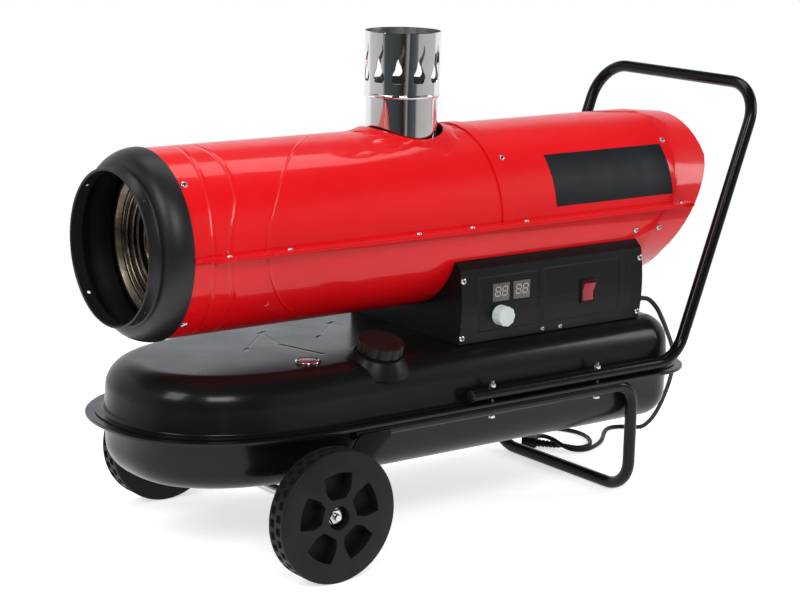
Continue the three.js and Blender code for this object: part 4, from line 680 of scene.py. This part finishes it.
def make_room():
    """The world: white to the camera, a fill for matt surfaces, and the room for glossy ones."""
    world = bpy.data.worlds.new("studio")
    bpy.context.scene.world = world
    world.use_nodes = True
    tree = world.node_tree
    nodes, links = tree.nodes, tree.links
    split = nodes.new("ShaderNodeSeparateXYZ")
    links.new(nodes.new("ShaderNodeTexCoord").outputs["Generated"], split.inputs[0])
    x, y, z = split.outputs
    cx, cy = ROOM_FRONT
    forward = math_node(tree, "MULTIPLY_ADD", x, cx, math_node(tree, "MULTIPLY", y, cy))
    sideways = math_node(tree, "MULTIPLY_ADD", y, cx, math_node(tree, "MULTIPLY", x, -cy))
    share = math_node(tree, "MULTIPLY_ADD", math_node(tree, "ARCTAN2", sideways, forward), 0.5 / math.pi, 0.5)
    ramp = nodes.new("ShaderNodeValToRGB")
    stops = ramp.color_ramp.elements
    stops[0].color = stops[-1].color = (*COOL, 1)
    for angle, level, tint in ROOM[1:-1]:
        stops.new(angle / 360 + 0.5).color = (*(level * part for part in tint), 1)
    links.new(share, ramp.inputs["Fac"])
    high = nodes.new("ShaderNodeMapRange")
    high.interpolation_type = "SMOOTHSTEP"
    links.new(z, high.inputs["Value"])
    high.inputs["From Min"].default_value = CEILING_RISE[0]
    high.inputs["From Max"].default_value = CEILING_RISE[1]
    room = mix_node(tree, high.outputs["Result"], ramp.outputs["Color"], (CEILING, CEILING, CEILING, 1))
    path = nodes.new("ShaderNodeLightPath")
    lit = mix_node(tree, path.outputs["Is Glossy Ray"], (FILL, FILL, FILL, 1), room)
    either = math_node(tree, "MAXIMUM", path.outputs["Is Camera Ray"], path.outputs["Is Transmission Ray"])
    links.new(mix_node(tree, either, lit, (1, 1, 1, 1)), nodes["Background"].inputs["Color"])
    nodes["Background"].inputs["Strength"].default_value = 1.0


def add_lamp(name, place, target, size, power):
    lamp = bpy.data.lights.new(name, "AREA")
    lamp.shape = "RECTANGLE"
    lamp.size, lamp.size_y = size
    lamp.energy = power
    obj = bpy.data.objects.new(name, lamp)
    bpy.context.scene.collection.objects.link(obj)
    obj.location = place
    obj.rotation_mode = "QUATERNION"
    obj.rotation_quaternion = (Vector(target) - Vector(place)).to_track_quat("-Z", "Y")


make_camera()
make_floor()
make_room()
add_lamp("key", (-1.6, -2.6, 2.4), (0, 0, 0.35), (1.2, 0.9), 46)
add_lamp("top", (0.2, 0.6, 2.6), (0, 0, 0.4), (2.6, 0.8), 22)
add_lamp("left", (-2.4, -0.4, 1.9), (-0.4, 0, 0.4), (0.9, 1.1), 24)
add_lamp("side", (2.6, -1.6, 1.5), (0.1, 0, 0.3), (0.7, 1.4), 22)

# ------------------------------------------------------------------ cord, before all else on the floor
CORD_ROUTE = [
    (392.6, -108, 316), (411, -108, 311.5), (432, -106, 295), (455, -98, 270), (480, -87, 241),
    (511, -69, 206), (538, -45, 171), (562, -15, 132), (579, 15, 93), (592, 46, 54), (600, 74, 26),
    (603, 96, 11), (602, 112, 6.5), (595, 127, 4.8), (583, 136, 4.4), (568, 139, 4.4), (552, 134, 4.4),
    (531, 118, 4.4), (510, 98, 4.4), (487, 79, 4.4), (462, 65, 4.4), (438, 57, 4.4), (420, 59, 4.6),
    (406, 68, 6.5), (397, 83, 12), (393, 101, 18), (391, 123, 19), (396, 148, 12), (406, 174, 5),
    (423, 196, 4.4), (450, 203, 4.4), (475, 190, 4.4), (489, 166, 4.4), (493, 140, 4.4),
    (486, 112, 4.4), (473, 91, 4.4), (459, 77, 4.4), (443, 70, 4.4), (427, 71, 4.8), (416.5, 77.5, 6),
    (410.43, 84.12, 7.2), (403.72, 93.70, 7.2),
]


def between(a, b, start, end, t):
    return a * ((end - t) / (end - start)) + b * ((t - start) / (end - start))


def smooth_path(places, steps):
    """A centripetal Catmull-Rom path through the places."""
    spots = [Vector(p) / 1000 for p in places]
    spots = [spots[0] * 2 - spots[1], *spots, spots[-1] * 2 - spots[-2]]
    path = []
    for a, b, c, d in zip(spots, spots[1:], spots[2:], spots[3:]):
        ta = 0.0
        tb = ta + math.sqrt((b - a).length)
        tc = tb + math.sqrt((c - b).length)
        td = tc + math.sqrt((d - c).length)
        for step in range(steps):
            t = tb + (tc - tb) * step / steps
            ab = between(a, b, ta, tb, t)
            bc = between(b, c, tb, tc, t)
            cd = between(c, d, tc, td, t)
            abc = between(ab, bc, ta, tc, t)
            bcd = between(bc, cd, tb, td, t)
            path.append(between(abc, bcd, tb, tc, t))
    path.append(spots[-2])
    return path


cord_path = smooth_path(CORD_ROUTE, 6)
cord = add_object(
    "mains_lead", shade(mesh_of("mains_lead", *tube(cord_path, CORD_RADIUS * 0.98, 14)), 60),
    CORD_BLACK, stands_for=["power_cord"],
)
plug = dress("mains_plug", PLASTIC, 0.0009, 30)
dress("cord_gland", PLASTIC, 0.0006, 40)


# ------------------------------------------------------------------ fuel tank
def tank_ring(inset, z):
    """The tank's plan outline moved inwards: square at the rear, long and round in front."""
    half = FLANGE_HALF_WIDTH - inset
    corner = max(TANK_CORNER - inset, 0.006)
    ring = []
    for side in (-1, 1):
        for k in range(13):
            angle = math.pi / 2 * (k / 12 + (-1 if side < 0 else 0))
            x = TANK_REAR_X - inset - corner + corner * math.cos(angle)
            ring.append((x, side * (half - corner) + corner * math.sin(angle), z))
    for k in range(73):
        angle = math.pi / 2 + math.pi * k / 72
        across, around = math.cos(angle), math.sin(angle)
        x = NOSE_START_X - (NOSE_LENGTH - inset) * abs(across) ** (2 / NOSE_EXPONENT)
        ring.append((x, math.copysign(half * abs(around) ** (2 / NOSE_EXPONENT), around), z))
    return ring


def tank_rounding(end_z, toward, steps=12):
    """Rings up or down a wall with its rounded shoulder, from the flange."""
    wall_end = end_z - toward * SHOULDER
    rings = []
    for k in range(steps + 1):
        angle = math.pi / 2 * k / steps
        inset = WALL_INSET + SHOULDER * (1 - math.cos(angle))
        rings.append(tank_ring(inset, wall_end + toward * SHOULDER * math.sin(angle)))
    return rings


def fillet(inset, z, size, steps=4):
    """The small rounding up from the flange to the wall."""
    rings = []
    for k in range(steps + 1):
        angle = math.pi / 2 * k / steps
        rings.append(tank_ring(inset - size * (1 - math.sin(angle)), z + size * (1 - math.cos(angle))))
    return rings


# The flange's edges, as (inset, height over the seam), from its under side up.
UPPER_FLANGE = ((0.0145, 0.00018), (0.014, 0.0006), (0.014, 0.0017), (0.0145, 0.00215))
LOWER_FLANGE = (
    (0.0272, -0.0065), (0.0245, -0.00215), (0.0035, -0.00215), (0.0023, -0.0032), (0.0023, -0.0052),
    (0.0004, -0.0052), (0, -0.0047), (0, -0.0011), (0.0009, -0.00015),
)
FILLET = 0.004
FILLET_INSET = 0.027
# The filler's raised seat, as (radius, height along the filler).
BOSS = (
    (0.0, -0.024), (0.053, -0.024), (0.0495, -0.018), (0.045, -0.0105), (0.0405, -0.005),
    (0.0385, -0.0018), (0.0365, -0.0002), (0.0345, 0.0), (0.0, 0.0),
)


def on_filler():
    return Matrix.Translation(FILLER) @ Matrix.Rotation(FILLER_TILT, 4, "X")


def make_tank():
    upper = [tank_ring(inset, SEAM_Z + rise) for inset, rise in UPPER_FLANGE]
    upper += fillet(FILLET_INSET, SEAM_Z + UPPER_FLANGE[-1][1], FILLET) + tank_rounding(TANK_TOP_Z, 1)
    mesh = shade(mesh_of("tank_top", *loft(upper)), 40)
    add_object("tank_top", mesh, TANK, stands_for=["tank_upper_shell"])
    mesh = shade(turned("boss", BOSS, 72, on_filler()), 50)
    add_object("filler_boss", mesh, BLACK, slot="black_paint")
    lower = list(reversed(tank_rounding(TANK_BOTTOM_Z, -1)))
    lower += [tank_ring(inset, SEAM_Z + rise) for inset, rise in LOWER_FLANGE]
    mesh = shade(mesh_of("tank_bottom", *loft(lower)), 40)
    add_object("tank_bottom", mesh, TANK, stands_for=["tank_lower_shell"])


# The cap's outline, as (radius, height), and its flutes.
CAP = (
    (0.0, 0.0), (0.0352, 0.0), (0.036, 0.0008), (0.036, 0.0145), (0.0355, 0.016), (0.0342, 0.0169),
    (0.0325, 0.017), (0.031, 0.0162), (0.0, 0.0158),
)
CAP_SIDES = 240
CAP_LIFT = 0.0026
FLUTES = 10
FLUTE_DEPTH = 0.0026
FLUTE_TURN = 0.18
FLUTED_RADIUS = 0.0335


def fluted_ring(radius, height):
    ring = []
    for k, (x, y) in enumerate(circle(1, CAP_SIDES)):
        wave = (k / CAP_SIDES * FLUTES + FLUTE_TURN) % 1.0
        depth = FLUTE_DEPTH * max(0.0, math.sin(math.pi * wave)) ** 8
        reach = radius - depth if radius >= FLUTED_RADIUS else radius
        ring.append((reach * x, reach * y, height + CAP_LIFT))
    return ring


def ribbed_cap():
    """The fuel cap: a fluted side under a rounded rim, with a shallow dish on top."""
    points, faces = loft([fluted_ring(*station) for station in CAP], caps=False)
    return shade(mesh_of("cap", placed(points, on_filler()), faces), 35)


DIAL = ((0.0, 0.2974), (0.0148, 0.2974), (0.0150, 0.2977), (0.0, 0.2982))
NEEDLE = ((-0.0006, -0.002), (0.0006, -0.002), (0.0003, 0.0125), (-0.0003, 0.0125))
NEEDLE_Z = 0.2980
NEEDLE_TURN = 0.9


def make_dial():
    mesh = shade(turned("dial", DIAL, 48, Matrix.Translation(GAUGE)))
    add_object("gauge_dial", mesh, DIAL_GLASS, slot="stainless")
    place = Matrix.Translation(GAUGE) @ Matrix.Translation((0, 0, NEEDLE_Z))
    needle = prism(NEEDLE, place @ Matrix.Rotation(NEEDLE_TURN, 4, "Z"), 0.0005)
    add_object("gauge_needle", mesh_of("needle", *needle), NEEDLE_GREY, slot="stainless")


make_tank()
add_object("ribbed_fuel_cap", ribbed_cap(), PLASTIC, "cap", stands_for=["fuel_cap"])
dress("filler_neck", BLACK, 0.0, 35)
dress("fuel_gauge", STEEL, 0.0004, 35)
dress("drain_plug", ZINC, 0.0006)
dress("fuel_pickup", BRASS, 0.0, 40)
make_dial()


# ------------------------------------------------------------------ duct
SKIN = (0.128, 0.1436)  # radii between which a point is on the round skin
CUT_LOW_Z = DUCT_Z - 0.093
CUT_RISE = 0.165


def duct_normal(place, face):
    """The round skin's own normal, outside or inside, with the taper of the rear end."""
    radial = Vector((0, place.y, place.z - DUCT_Z))
    reach = radial.length
    if not SKIN[0] <= reach <= SKIN[1]:
        return None
    radial.normalize()
    share = min(max((place.z - CUT_LOW_Z) / CUT_RISE, 0), 1)
    edge = DUCT_REAR + (DUCT_REAR_TOP - DUCT_REAR) * share
    if abs(face.dot(radial)) < 0.985:
        return None
    if face.x * face.dot(radial) > 0.05 and place.x > edge - TAPER_LENGTH:
        radial = (radial + Vector((TAPER, 0, 0))).normalized()
    return radial if face.dot(radial) > 0 else -radial


for name in ("duct_lower_shell", "duct_upper_front", "duct_upper_rear"):
    shell = dress(name, RED, 0.0, 25)
    set_normals(shell.data, duct_normal)

# The outlet's outline, as (radius, x): the mouth's rolled edge, the spigot, the round shoulder, the seat
# in the duct, and back along the inside.
CONE = [
    (0.1130, -0.5610), (0.1142, -0.5622), (0.1158, -0.5622), (0.1168, -0.5612), (0.1170, -0.5598),
    (0.1166, -0.5586), (0.1153, -0.5580), (0.1150, -0.5560), (0.1150, -0.5432), (0.1156, -0.5422),
    (0.1170, -0.5413),
]
CONE += arc((0.118, -0.5033), (0.0255, 0.038), 14, 0, 14)
CONE += [(0.1385, -0.5033), (0.1385, -0.4813), (0.1365, -0.4813), (0.1365, -0.5045)]
CONE += arc((0.116, -0.5020), (0.0245, 0.037), 14, 11, 0)
CONE += [(0.1130, -0.5430)]
SCREW_HOLE_X = -0.5505
SCREW_HOLE_RADIUS = 0.003


def make_cone():
    mesh = turned("outlet_ring", CONE, 128, along((1, 0, 0), (0, 0, DUCT_Z)), closed=True)
    obj = add_object("outlet_ring", mesh, CONE_BLACK, stands_for=["outlet_cone", "outlet_spigot"])
    holes = []
    for degrees in (45, 135, 225, 315):
        outward = Vector((0, math.sin(math.radians(degrees)), math.cos(math.radians(degrees))))
        place = along(outward, Vector((SCREW_HOLE_X, 0, DUCT_Z)) + outward * 0.105)
        holes.append(prism(circle(SCREW_HOLE_RADIUS, 16), place, 0.02))
    subtract(obj, holes)
    shade(obj.data, 35)


make_cone()


# ------------------------------------------------------------------ exchanger, burner, fan and guard
# The pressed rings on the exchanger's and the chamber's front faces, as radius, x and size.
RINGS = (
    (0.116, -0.4845, 0.004), (0.104, -0.4790, 0.0035), (0.094, -0.4780, 0.0035), (0.084, -0.4735, 0.004),
    (0.055, -0.4690, 0.004), (0.043, -0.4645, 0.0035),
)
RING_FLATNESS = 0.7


def exchanger_rings():
    parts = []
    for radius, x, size in RINGS:
        outline = [(radius + across, RING_FLATNESS * along_axis) for across, along_axis in circle(size, 12)]
        points, faces = lathe(outline, 72, closed=True)
        parts.append((placed(points, along((1, 0, 0), (x, 0, DUCT_Z))), faces))
    return shade(mesh_of("rings", *joined(parts)), 60)


for name in (
    "heat_exchanger", "exchanger_inner_wall", "exchanger_front_plate", "exchanger_rear_plate",
    "combustion_chamber", "chamber_front", "transfer_duct",
):
    dress(name, HEATED, 0.0, 30)
add_object("exchanger_rings", exchanger_rings(), HEATED, slot="heated_steel")
for name in ("exchanger_cradle_front", "exchanger_cradle_rear"):
    dress(name, HEATED, 0.0, 25)
dress("burner_head", ZINC, 0.0, 30)
dress("nozzle_assembly", BRASS, 0.0, 30)
dress("fan", ZINC, 0.0004, 30)
dress("fan_motor", BLACK, 0.0, 30)
dress("motor_bracket", ZINC, 0.0, 30)
dress("fuel_line", BRASS, 0.0, 50)
dress("fuel_pump", ZINC, 0.0008)
dress("ignition_transformer", PLASTIC, 0.0008)
dress("rear_guard", BLACK, 0.0006, 30)


# ------------------------------------------------------------------ flue
# One flame-shaped cut-out, in millimetres across and up from its foot.
FLAME = [
    (-6.5, 0.0), (6.0, 0.0), (9.5, 3.5), (10.8, 8.5), (9.6, 14.0), (6.6, 19.5), (4.6, 25.0), (4.2, 31.0),
    (5.4, 37.0), (7.6, 43.0), (8.6, 49.0), (8.0, 55.5), (5.8, 62.5), (6.2, 56.0), (5.6, 50.0), (3.0, 44.0),
    (-0.6, 38.5), (-3.4, 33.0), (-4.2, 27.0), (-5.6, 21.0), (-8.8, 15.0), (-10.6, 9.0), (-9.8, 3.8),
]
FLAMES = 11
FLAME_TURN = math.radians(-10)
FLAME_Z = 0.694
FLAME_START = 0.045
# The cowl's wall, as (radius, z): its foot, the bead that rests on the pipe, the wall and its rolled top.
COWL = [(0.0572, COWL_Z), (0.0584, COWL_Z), (0.0584, 0.6700)]
COWL += arc((0.0584, 0.6735), (0.0020, 0.0028), 5, 0, 10)
COWL += [(0.0585, 0.679), (0.0600, 0.7705), (0.0602, 0.7715), (0.0598, COWL_TOP_Z), (0.0590, 0.7718)]
COWL += [(0.0588, 0.7705), (0.0573, 0.679)]


def round_wall(place, face):
    """Normals of an upright round wall about the flue's axis."""
    radial = Vector((place.x - FLUE_X, place.y, 0)).normalized()
    if abs(face.dot(radial)) < 0.97:
        return None
    return radial if face.dot(radial) > 0 else -radial


def soot_inside(mesh):
    """Gives the faces that look at the flue's axis the dull finish of its inside."""
    mesh.materials.append(SOOTED)
    for face in mesh.polygons:
        radial = Vector((face.center.x - FLUE_X, face.center.y, 0)).normalized()
        face.material_index = int(face.normal.dot(radial) < -0.5)


def make_pipe():
    outer, inner = FLUE_RADIUS, FLUE_RADIUS - FLUE_SHEET
    wall = [(outer, PIPE_FOOT_Z), (outer, PIPE_TOP_Z), (inner, PIPE_TOP_Z), (inner, PIPE_FOOT_Z)]
    mesh = shade(turned("flue_tube", wall, 110, Matrix.Translation((FLUE_X, 0, 0)), closed=True), 35)
    add_object("flue_tube", mesh, STEEL, stands_for=["flue_pipe"])
    soot_inside(mesh)


def make_cowl():
    mesh = turned("cowl", COWL, 132, Matrix.Translation((FLUE_X, 0, 0)), closed=True)
    obj = add_object("pierced_cowl", mesh, STEEL, stands_for=["flue_cowl"])
    outline = [(x / 1000, y / 1000) for x, y in FLAME]
    cutters = []
    for k in range(FLAMES):
        angle = 2 * math.pi * k / FLAMES + FLAME_TURN
        outward = Vector((math.sin(angle), -math.cos(angle), 0))
        across = Vector((math.cos(angle), math.sin(angle), 0))
        origin = Vector((FLUE_X, 0, FLAME_Z)) + outward * FLAME_START
        place = Matrix((across, Vector((0, 0, 1)), outward)).transposed().to_4x4()
        cutters.append(prism(outline, Matrix.Translation(origin) @ place, 0.03))
    subtract(obj, cutters)
    shade(obj.data, 30)
    set_normals(obj.data, round_wall)
    soot_inside(obj.data)


make_pipe()
make_cowl()


# ------------------------------------------------------------------ control cabinet
def box(x0, x1, y0, y1, z0, z1):
    corners = ((x0, y0), (x1, y0), (x1, y1), (x0, y1))
    return loft([[(x, y, z) for x, y in corners] for z in (z0, z1)])


DISPLAYS = (0.053, 0.095)  # x of their middles
FIGURES = (-0.0125, 0.0015)  # x of each figure's left edge from there
FIGURE_WIDTH = 0.0095
FIGURE_LEVELS = (0.3665, 0.3735, 0.3805)
FIGURE_LEAN = 0.0009 / 0.007
BAR = 0.0014
BAR_GAP = 0.0004
BAR_HEIGHT = 0.0003


def bar(x0, x1, z0, z1):
    return box(x0, x1, DISPLAY_FACE_Y - BAR_HEIGHT, DISPLAY_FACE_Y, z0, z1)


def figure(x0, x1):
    """The seven bars of one leaning figure, and its point."""
    foot = FIGURE_LEVELS[0]
    bars = []
    for z in FIGURE_LEVELS:
        shift = FIGURE_LEAN * (z - foot)
        bars.append(bar(x0 + BAR * 0.6 + shift, x1 - BAR * 0.6 + shift, z - BAR / 2, z + BAR / 2))
    for x in (x0, x1):
        for low, high in zip(FIGURE_LEVELS, FIGURE_LEVELS[1:]):
            middle = x + FIGURE_LEAN * ((low + high) / 2 - foot)
            inset = BAR_GAP + BAR / 2
            bars.append(bar(middle - BAR / 2, middle + BAR / 2, low + inset, high - inset))
    bars.append(bar(x1 + 0.0017, x1 + 0.0027, foot - 0.0007, foot + 0.0005))
    return bars


def digits():
    starts = [middle + left for middle in DISPLAYS for left in FIGURES]
    parts = [part for x in starts for part in figure(x, x + FIGURE_WIDTH)]
    return mesh_of("digits", *joined(parts))


dress("cabinet", BLACK, 0.0, 25)
dress("control_panel", PANEL, 0.0, 25)
for name in ("display_left", "display_right"):
    dress(name, SMOKED, 0.0006)
add_object("display_digits", digits(), SEGMENT, slot="display_face")
dress("control_board", BOARD_GREEN, 0.0003)
dress("thermostat_pot", ZINC, 0.0004)
dress("thermostat_knob", KNOB_GREY, 0.0007, 25)
dress("switch_bezel", PLASTIC, 0.0008)
dress("power_rocker", ROCKER_RED, 0.0008)


# ------------------------------------------------------------------ handle, leg, axle and brackets
def made_tube(name, node, corners, radii):
    points, faces = tube(rounded(corners, radii), TUBE_RADIUS, 28)
    add_object(name, shade(mesh_of(name, points, faces), 40), FRAME_BLACK, stands_for=[node])


def mirrored(corners):
    return corners + [(x, -y, z) for x, y, z in reversed(corners)]


made_tube("push_handle", "handle", mirrored([
    (-0.037, -TUBE_Y, HANDLE_Z), (0.395, -TUBE_Y, HANDLE_Z), (0.561, -TUBE_Y, 0.674),
]), (0.060, 0.065, 0.065, 0.060))
made_tube("leg_tube", "leg_frame", mirrored([
    (-0.262, -TUBE_Y, LEG_Z), (0.300, -TUBE_Y, LEG_Z), (0.321, -0.172, TUBE_RADIUS),
]), (0.042, 0.058, 0.058, 0.042))
for side in ("left", "right"):
    dress("handle_plug_" + side, PLASTIC, 0.0005, 40)
    dress("axle_bracket_" + side, FRAME_BLACK, 0.0008, 30)
    for k in ("1", "2"):
        dress(f"frame_bolt_{side}_{k}", ZINC, 0.0005)
    dress("axle_nut_" + side, ZINC, 0.0006)
dress("axle", ZINC, 0.0005, 40)


# ------------------------------------------------------------------ wheels
TREAD_SIDES = 256
TREAD_PITS = 32
TREAD_DEPTH = 0.0042
TREAD_ROWS = ((0.2295, 0.2395), (0.2445, 0.2545))
HUB_RECESS = 0.016
POCKETS = 5
POCKET_TURN = 87
POCKET_DEPTH = 0.024
# A pocket from the hub out: its foot, its widest corner, as (radius, half width), and its outer arc.
POCKET_FOOT = (0.029, 0.0125)
POCKET_SIDE = (0.041, 0.0215)
POCKET_RADIUS = 0.069
POCKET_HALF_ANGLE = 0.37


def tread_depth(turn_share, y):
    """How deep the tread is at a share of the turn and a place across it: two staggered rows of pits."""
    for row, (low, high) in enumerate(TREAD_ROWS):
        if low <= y <= high and (turn_share * TREAD_PITS + row / 2) % 1.0 < 0.5:
            return TREAD_DEPTH
    return 0.0


def wheel_mesh(side):
    """A moulded wheel with its tread and its hub recess, and the matrix that lays it on the axle."""
    rows = [WHEEL_INNER + 0.003 + 0.001 * k for k in range(33)]
    profile = [(BORE_RADIUS, WHEEL_INNER + 0.0005), (0.020, WHEEL_INNER), (0.0955, WHEEL_INNER)]
    profile += [(0.0982, WHEEL_INNER + 0.0008)]
    profile += [(WHEEL_RADIUS, y) for y in rows]
    profile += [(0.0985, WHEEL_OUTER - 0.0009), (0.0955, WHEEL_OUTER), (0.0185, WHEEL_OUTER)]
    profile += [(0.0178, WHEEL_OUTER - 0.0007), (0.0178, WHEEL_OUTER - HUB_RECESS)]
    profile += [(BORE_RADIUS, WHEEL_OUTER - HUB_RECESS)]
    rings = []
    for radius, y in profile:
        ring = []
        for k, (x, z) in enumerate(circle(1, TREAD_SIDES)):
            reach = radius - (tread_depth(k / TREAD_SIDES, y) if radius == WHEEL_RADIUS else 0.0)
            ring.append((reach * x, y, reach * z))
        rings.append(ring)
    points, faces = loft(rings + [rings[0]], caps=False)
    matrix = Matrix.Translation((AXLE_X, 0, WHEEL_RADIUS))
    if side < 0:
        matrix = matrix @ Matrix.Rotation(math.pi, 4, "Z")
    return mesh_of("wheel", placed(points, matrix), faces), matrix


def pockets(matrix):
    half = [POCKET_HALF_ANGLE * (1 - k / 4) for k in range(9)]
    outline = [POCKET_FOOT, POCKET_SIDE]
    outline += [(POCKET_RADIUS * math.cos(t), POCKET_RADIUS * math.sin(t)) for t in half]
    outline += [(radius, -width) for radius, width in (POCKET_SIDE, POCKET_FOOT)]
    lay = Matrix(((1, 0, 0, 0), (0, 0, 1, 0), (0, 1, 0, 0), (0, 0, 0, 1)))
    floor = Matrix.Translation((0, WHEEL_OUTER - POCKET_DEPTH, 0))
    made = []
    for k in range(POCKETS):
        spin = Matrix.Rotation(-math.radians(POCKET_TURN - 360 / POCKETS * k), 4, "Y")
        made.append(prism(outline, matrix @ spin @ floor @ lay, 0.03))
    return made


for name, side in (("wheel_left", -1), ("wheel_right", 1)):
    mesh, matrix = wheel_mesh(side)
    obj = add_object(name + "_moulding", mesh, WHEEL_PLASTIC, name, stands_for=[name])
    subtract(obj, pockets(matrix))
    shade(obj.data, 28)


# ------------------------------------------------------------------ screws and the bare label
# Where the screws sit: along the lips, as x; on the duct, as (x, y, z) towards its skin; and on the
# panel, as (x, z). Each kind or row has its head's radius.
LIP_SCREWS = (-0.452, -0.349, -0.114, -0.011, 0.098, 0.435)
LIP_SCREW = 0.0047
DUCT_SCREWS = (
    (-0.4936, 0.098, 0.5806, 0.0055), (-0.493, 0.097, 0.374, 0.0055), (0.435, 0.099, 0.580, 0.0050),
    (0.3485, 0.137, 0.440, 0.0050), (0.3997, 0.137, 0.440, 0.0050), (0.0856, 0.102, 0.576, 0.0050),
)
PANEL_SCREWS = (
    (-0.0213, 0.3965, 0.0055), (-0.0213, 0.305, 0.0055), (0.349, 0.3965, 0.0055), (0.349, 0.3055, 0.0055),
    (0.144, 0.301, 0.0040), (0.1815, 0.3005, 0.0040),
)


def screw(place, outward, radius):
    """The domed head of a cross-head screw."""
    head = [(0.0, 0.0024), (radius * 0.45, 0.0023), (radius * 0.8, 0.0017), (radius, 0.0006)]
    head += [(radius, -0.0004)]
    points, faces = lathe(head, 20)
    return placed(points, along(outward, place)), faces


def cross(place, outward, radius):
    """Painted shade: the two dark bars that read as the shaded cross recess in a screw's head."""
    matrix = along(outward, place) @ Matrix.Translation((0, 0, 0.0019))
    arm, wide = radius * 0.5, radius * 0.12
    bars = []
    for x, y in ((arm, wide), (wide, arm)):
        bars.append(prism([(-x, -y), (x, -y), (x, y), (-x, y)], matrix, 0.0006))
    return joined(bars)


def screw_spots():
    """Every small screw, as its place, the way out of the sheet, and its head's radius."""
    spots = []
    for x in LIP_SCREWS:
        for side in (-1, 1):
            spots.append((Vector((x, side * LIP_MIDDLE_Y, LIP_TOP_Z)), Vector((0, 0, 1)), LIP_SCREW))
    for x, y, z, radius in DUCT_SCREWS:
        for side in (-1, 1):
            outward = Vector((0, side * y, z - DUCT_Z)).normalized()
            spots.append((Vector((x, 0, DUCT_Z)) + outward * DUCT_RADIUS, outward, radius))
    for x, z, radius in PANEL_SCREWS:
        rise = (z - PANEL_LOW_Z) / (PANEL_HIGH_Z - PANEL_LOW_Z)
        bulge = PANEL_BULGE * math.sin(math.pi * rise)
        spots.append((Vector((x, PANEL_Y - bulge, z)), Vector((0, -1, 0)), radius))
    return spots


SCREWS = screw_spots()
heads = joined([screw(*spot) for spot in SCREWS])
add_object("sheet_screws", shade(mesh_of("heads", *heads), 50), ZINC, slot="zinc")
# The crosses are painted shade, in the satin black paint.
cross_shade = joined([cross(*spot) for spot in SCREWS])
add_object("screw_cross_shade", mesh_of("crosses", *cross_shade), BLACK, slot="black_paint")

LABEL_ENDS = (0.171, 0.425)
LABEL_TURN = (7.3, 43)
LABEL_LIFT = (0.0003, 0.0001)


def label_mesh():
    """A thin plain patch that follows the duct."""
    low, high = LABEL_TURN
    top, under = (DUCT_RADIUS + lift for lift in LABEL_LIFT)
    rings = []
    for k in range(13):
        turn = math.radians(low + (high - low) * k / 12)
        ring = []
        for radius, ends in ((top, LABEL_ENDS), (under, LABEL_ENDS[::-1])):
            y, z = -radius * math.cos(turn), DUCT_Z + radius * math.sin(turn)
            ring += [(x, y, z) for x in ends]
        rings.append(ring)
    return mesh_of("label", *loft(rings))


add_object("plain_label", shade(label_mesh(), 40), LABEL, slot="black_paint")

# ------------------------------------------------------------------ view transform
bpy.context.scene.view_settings.view_transform = "Standard"
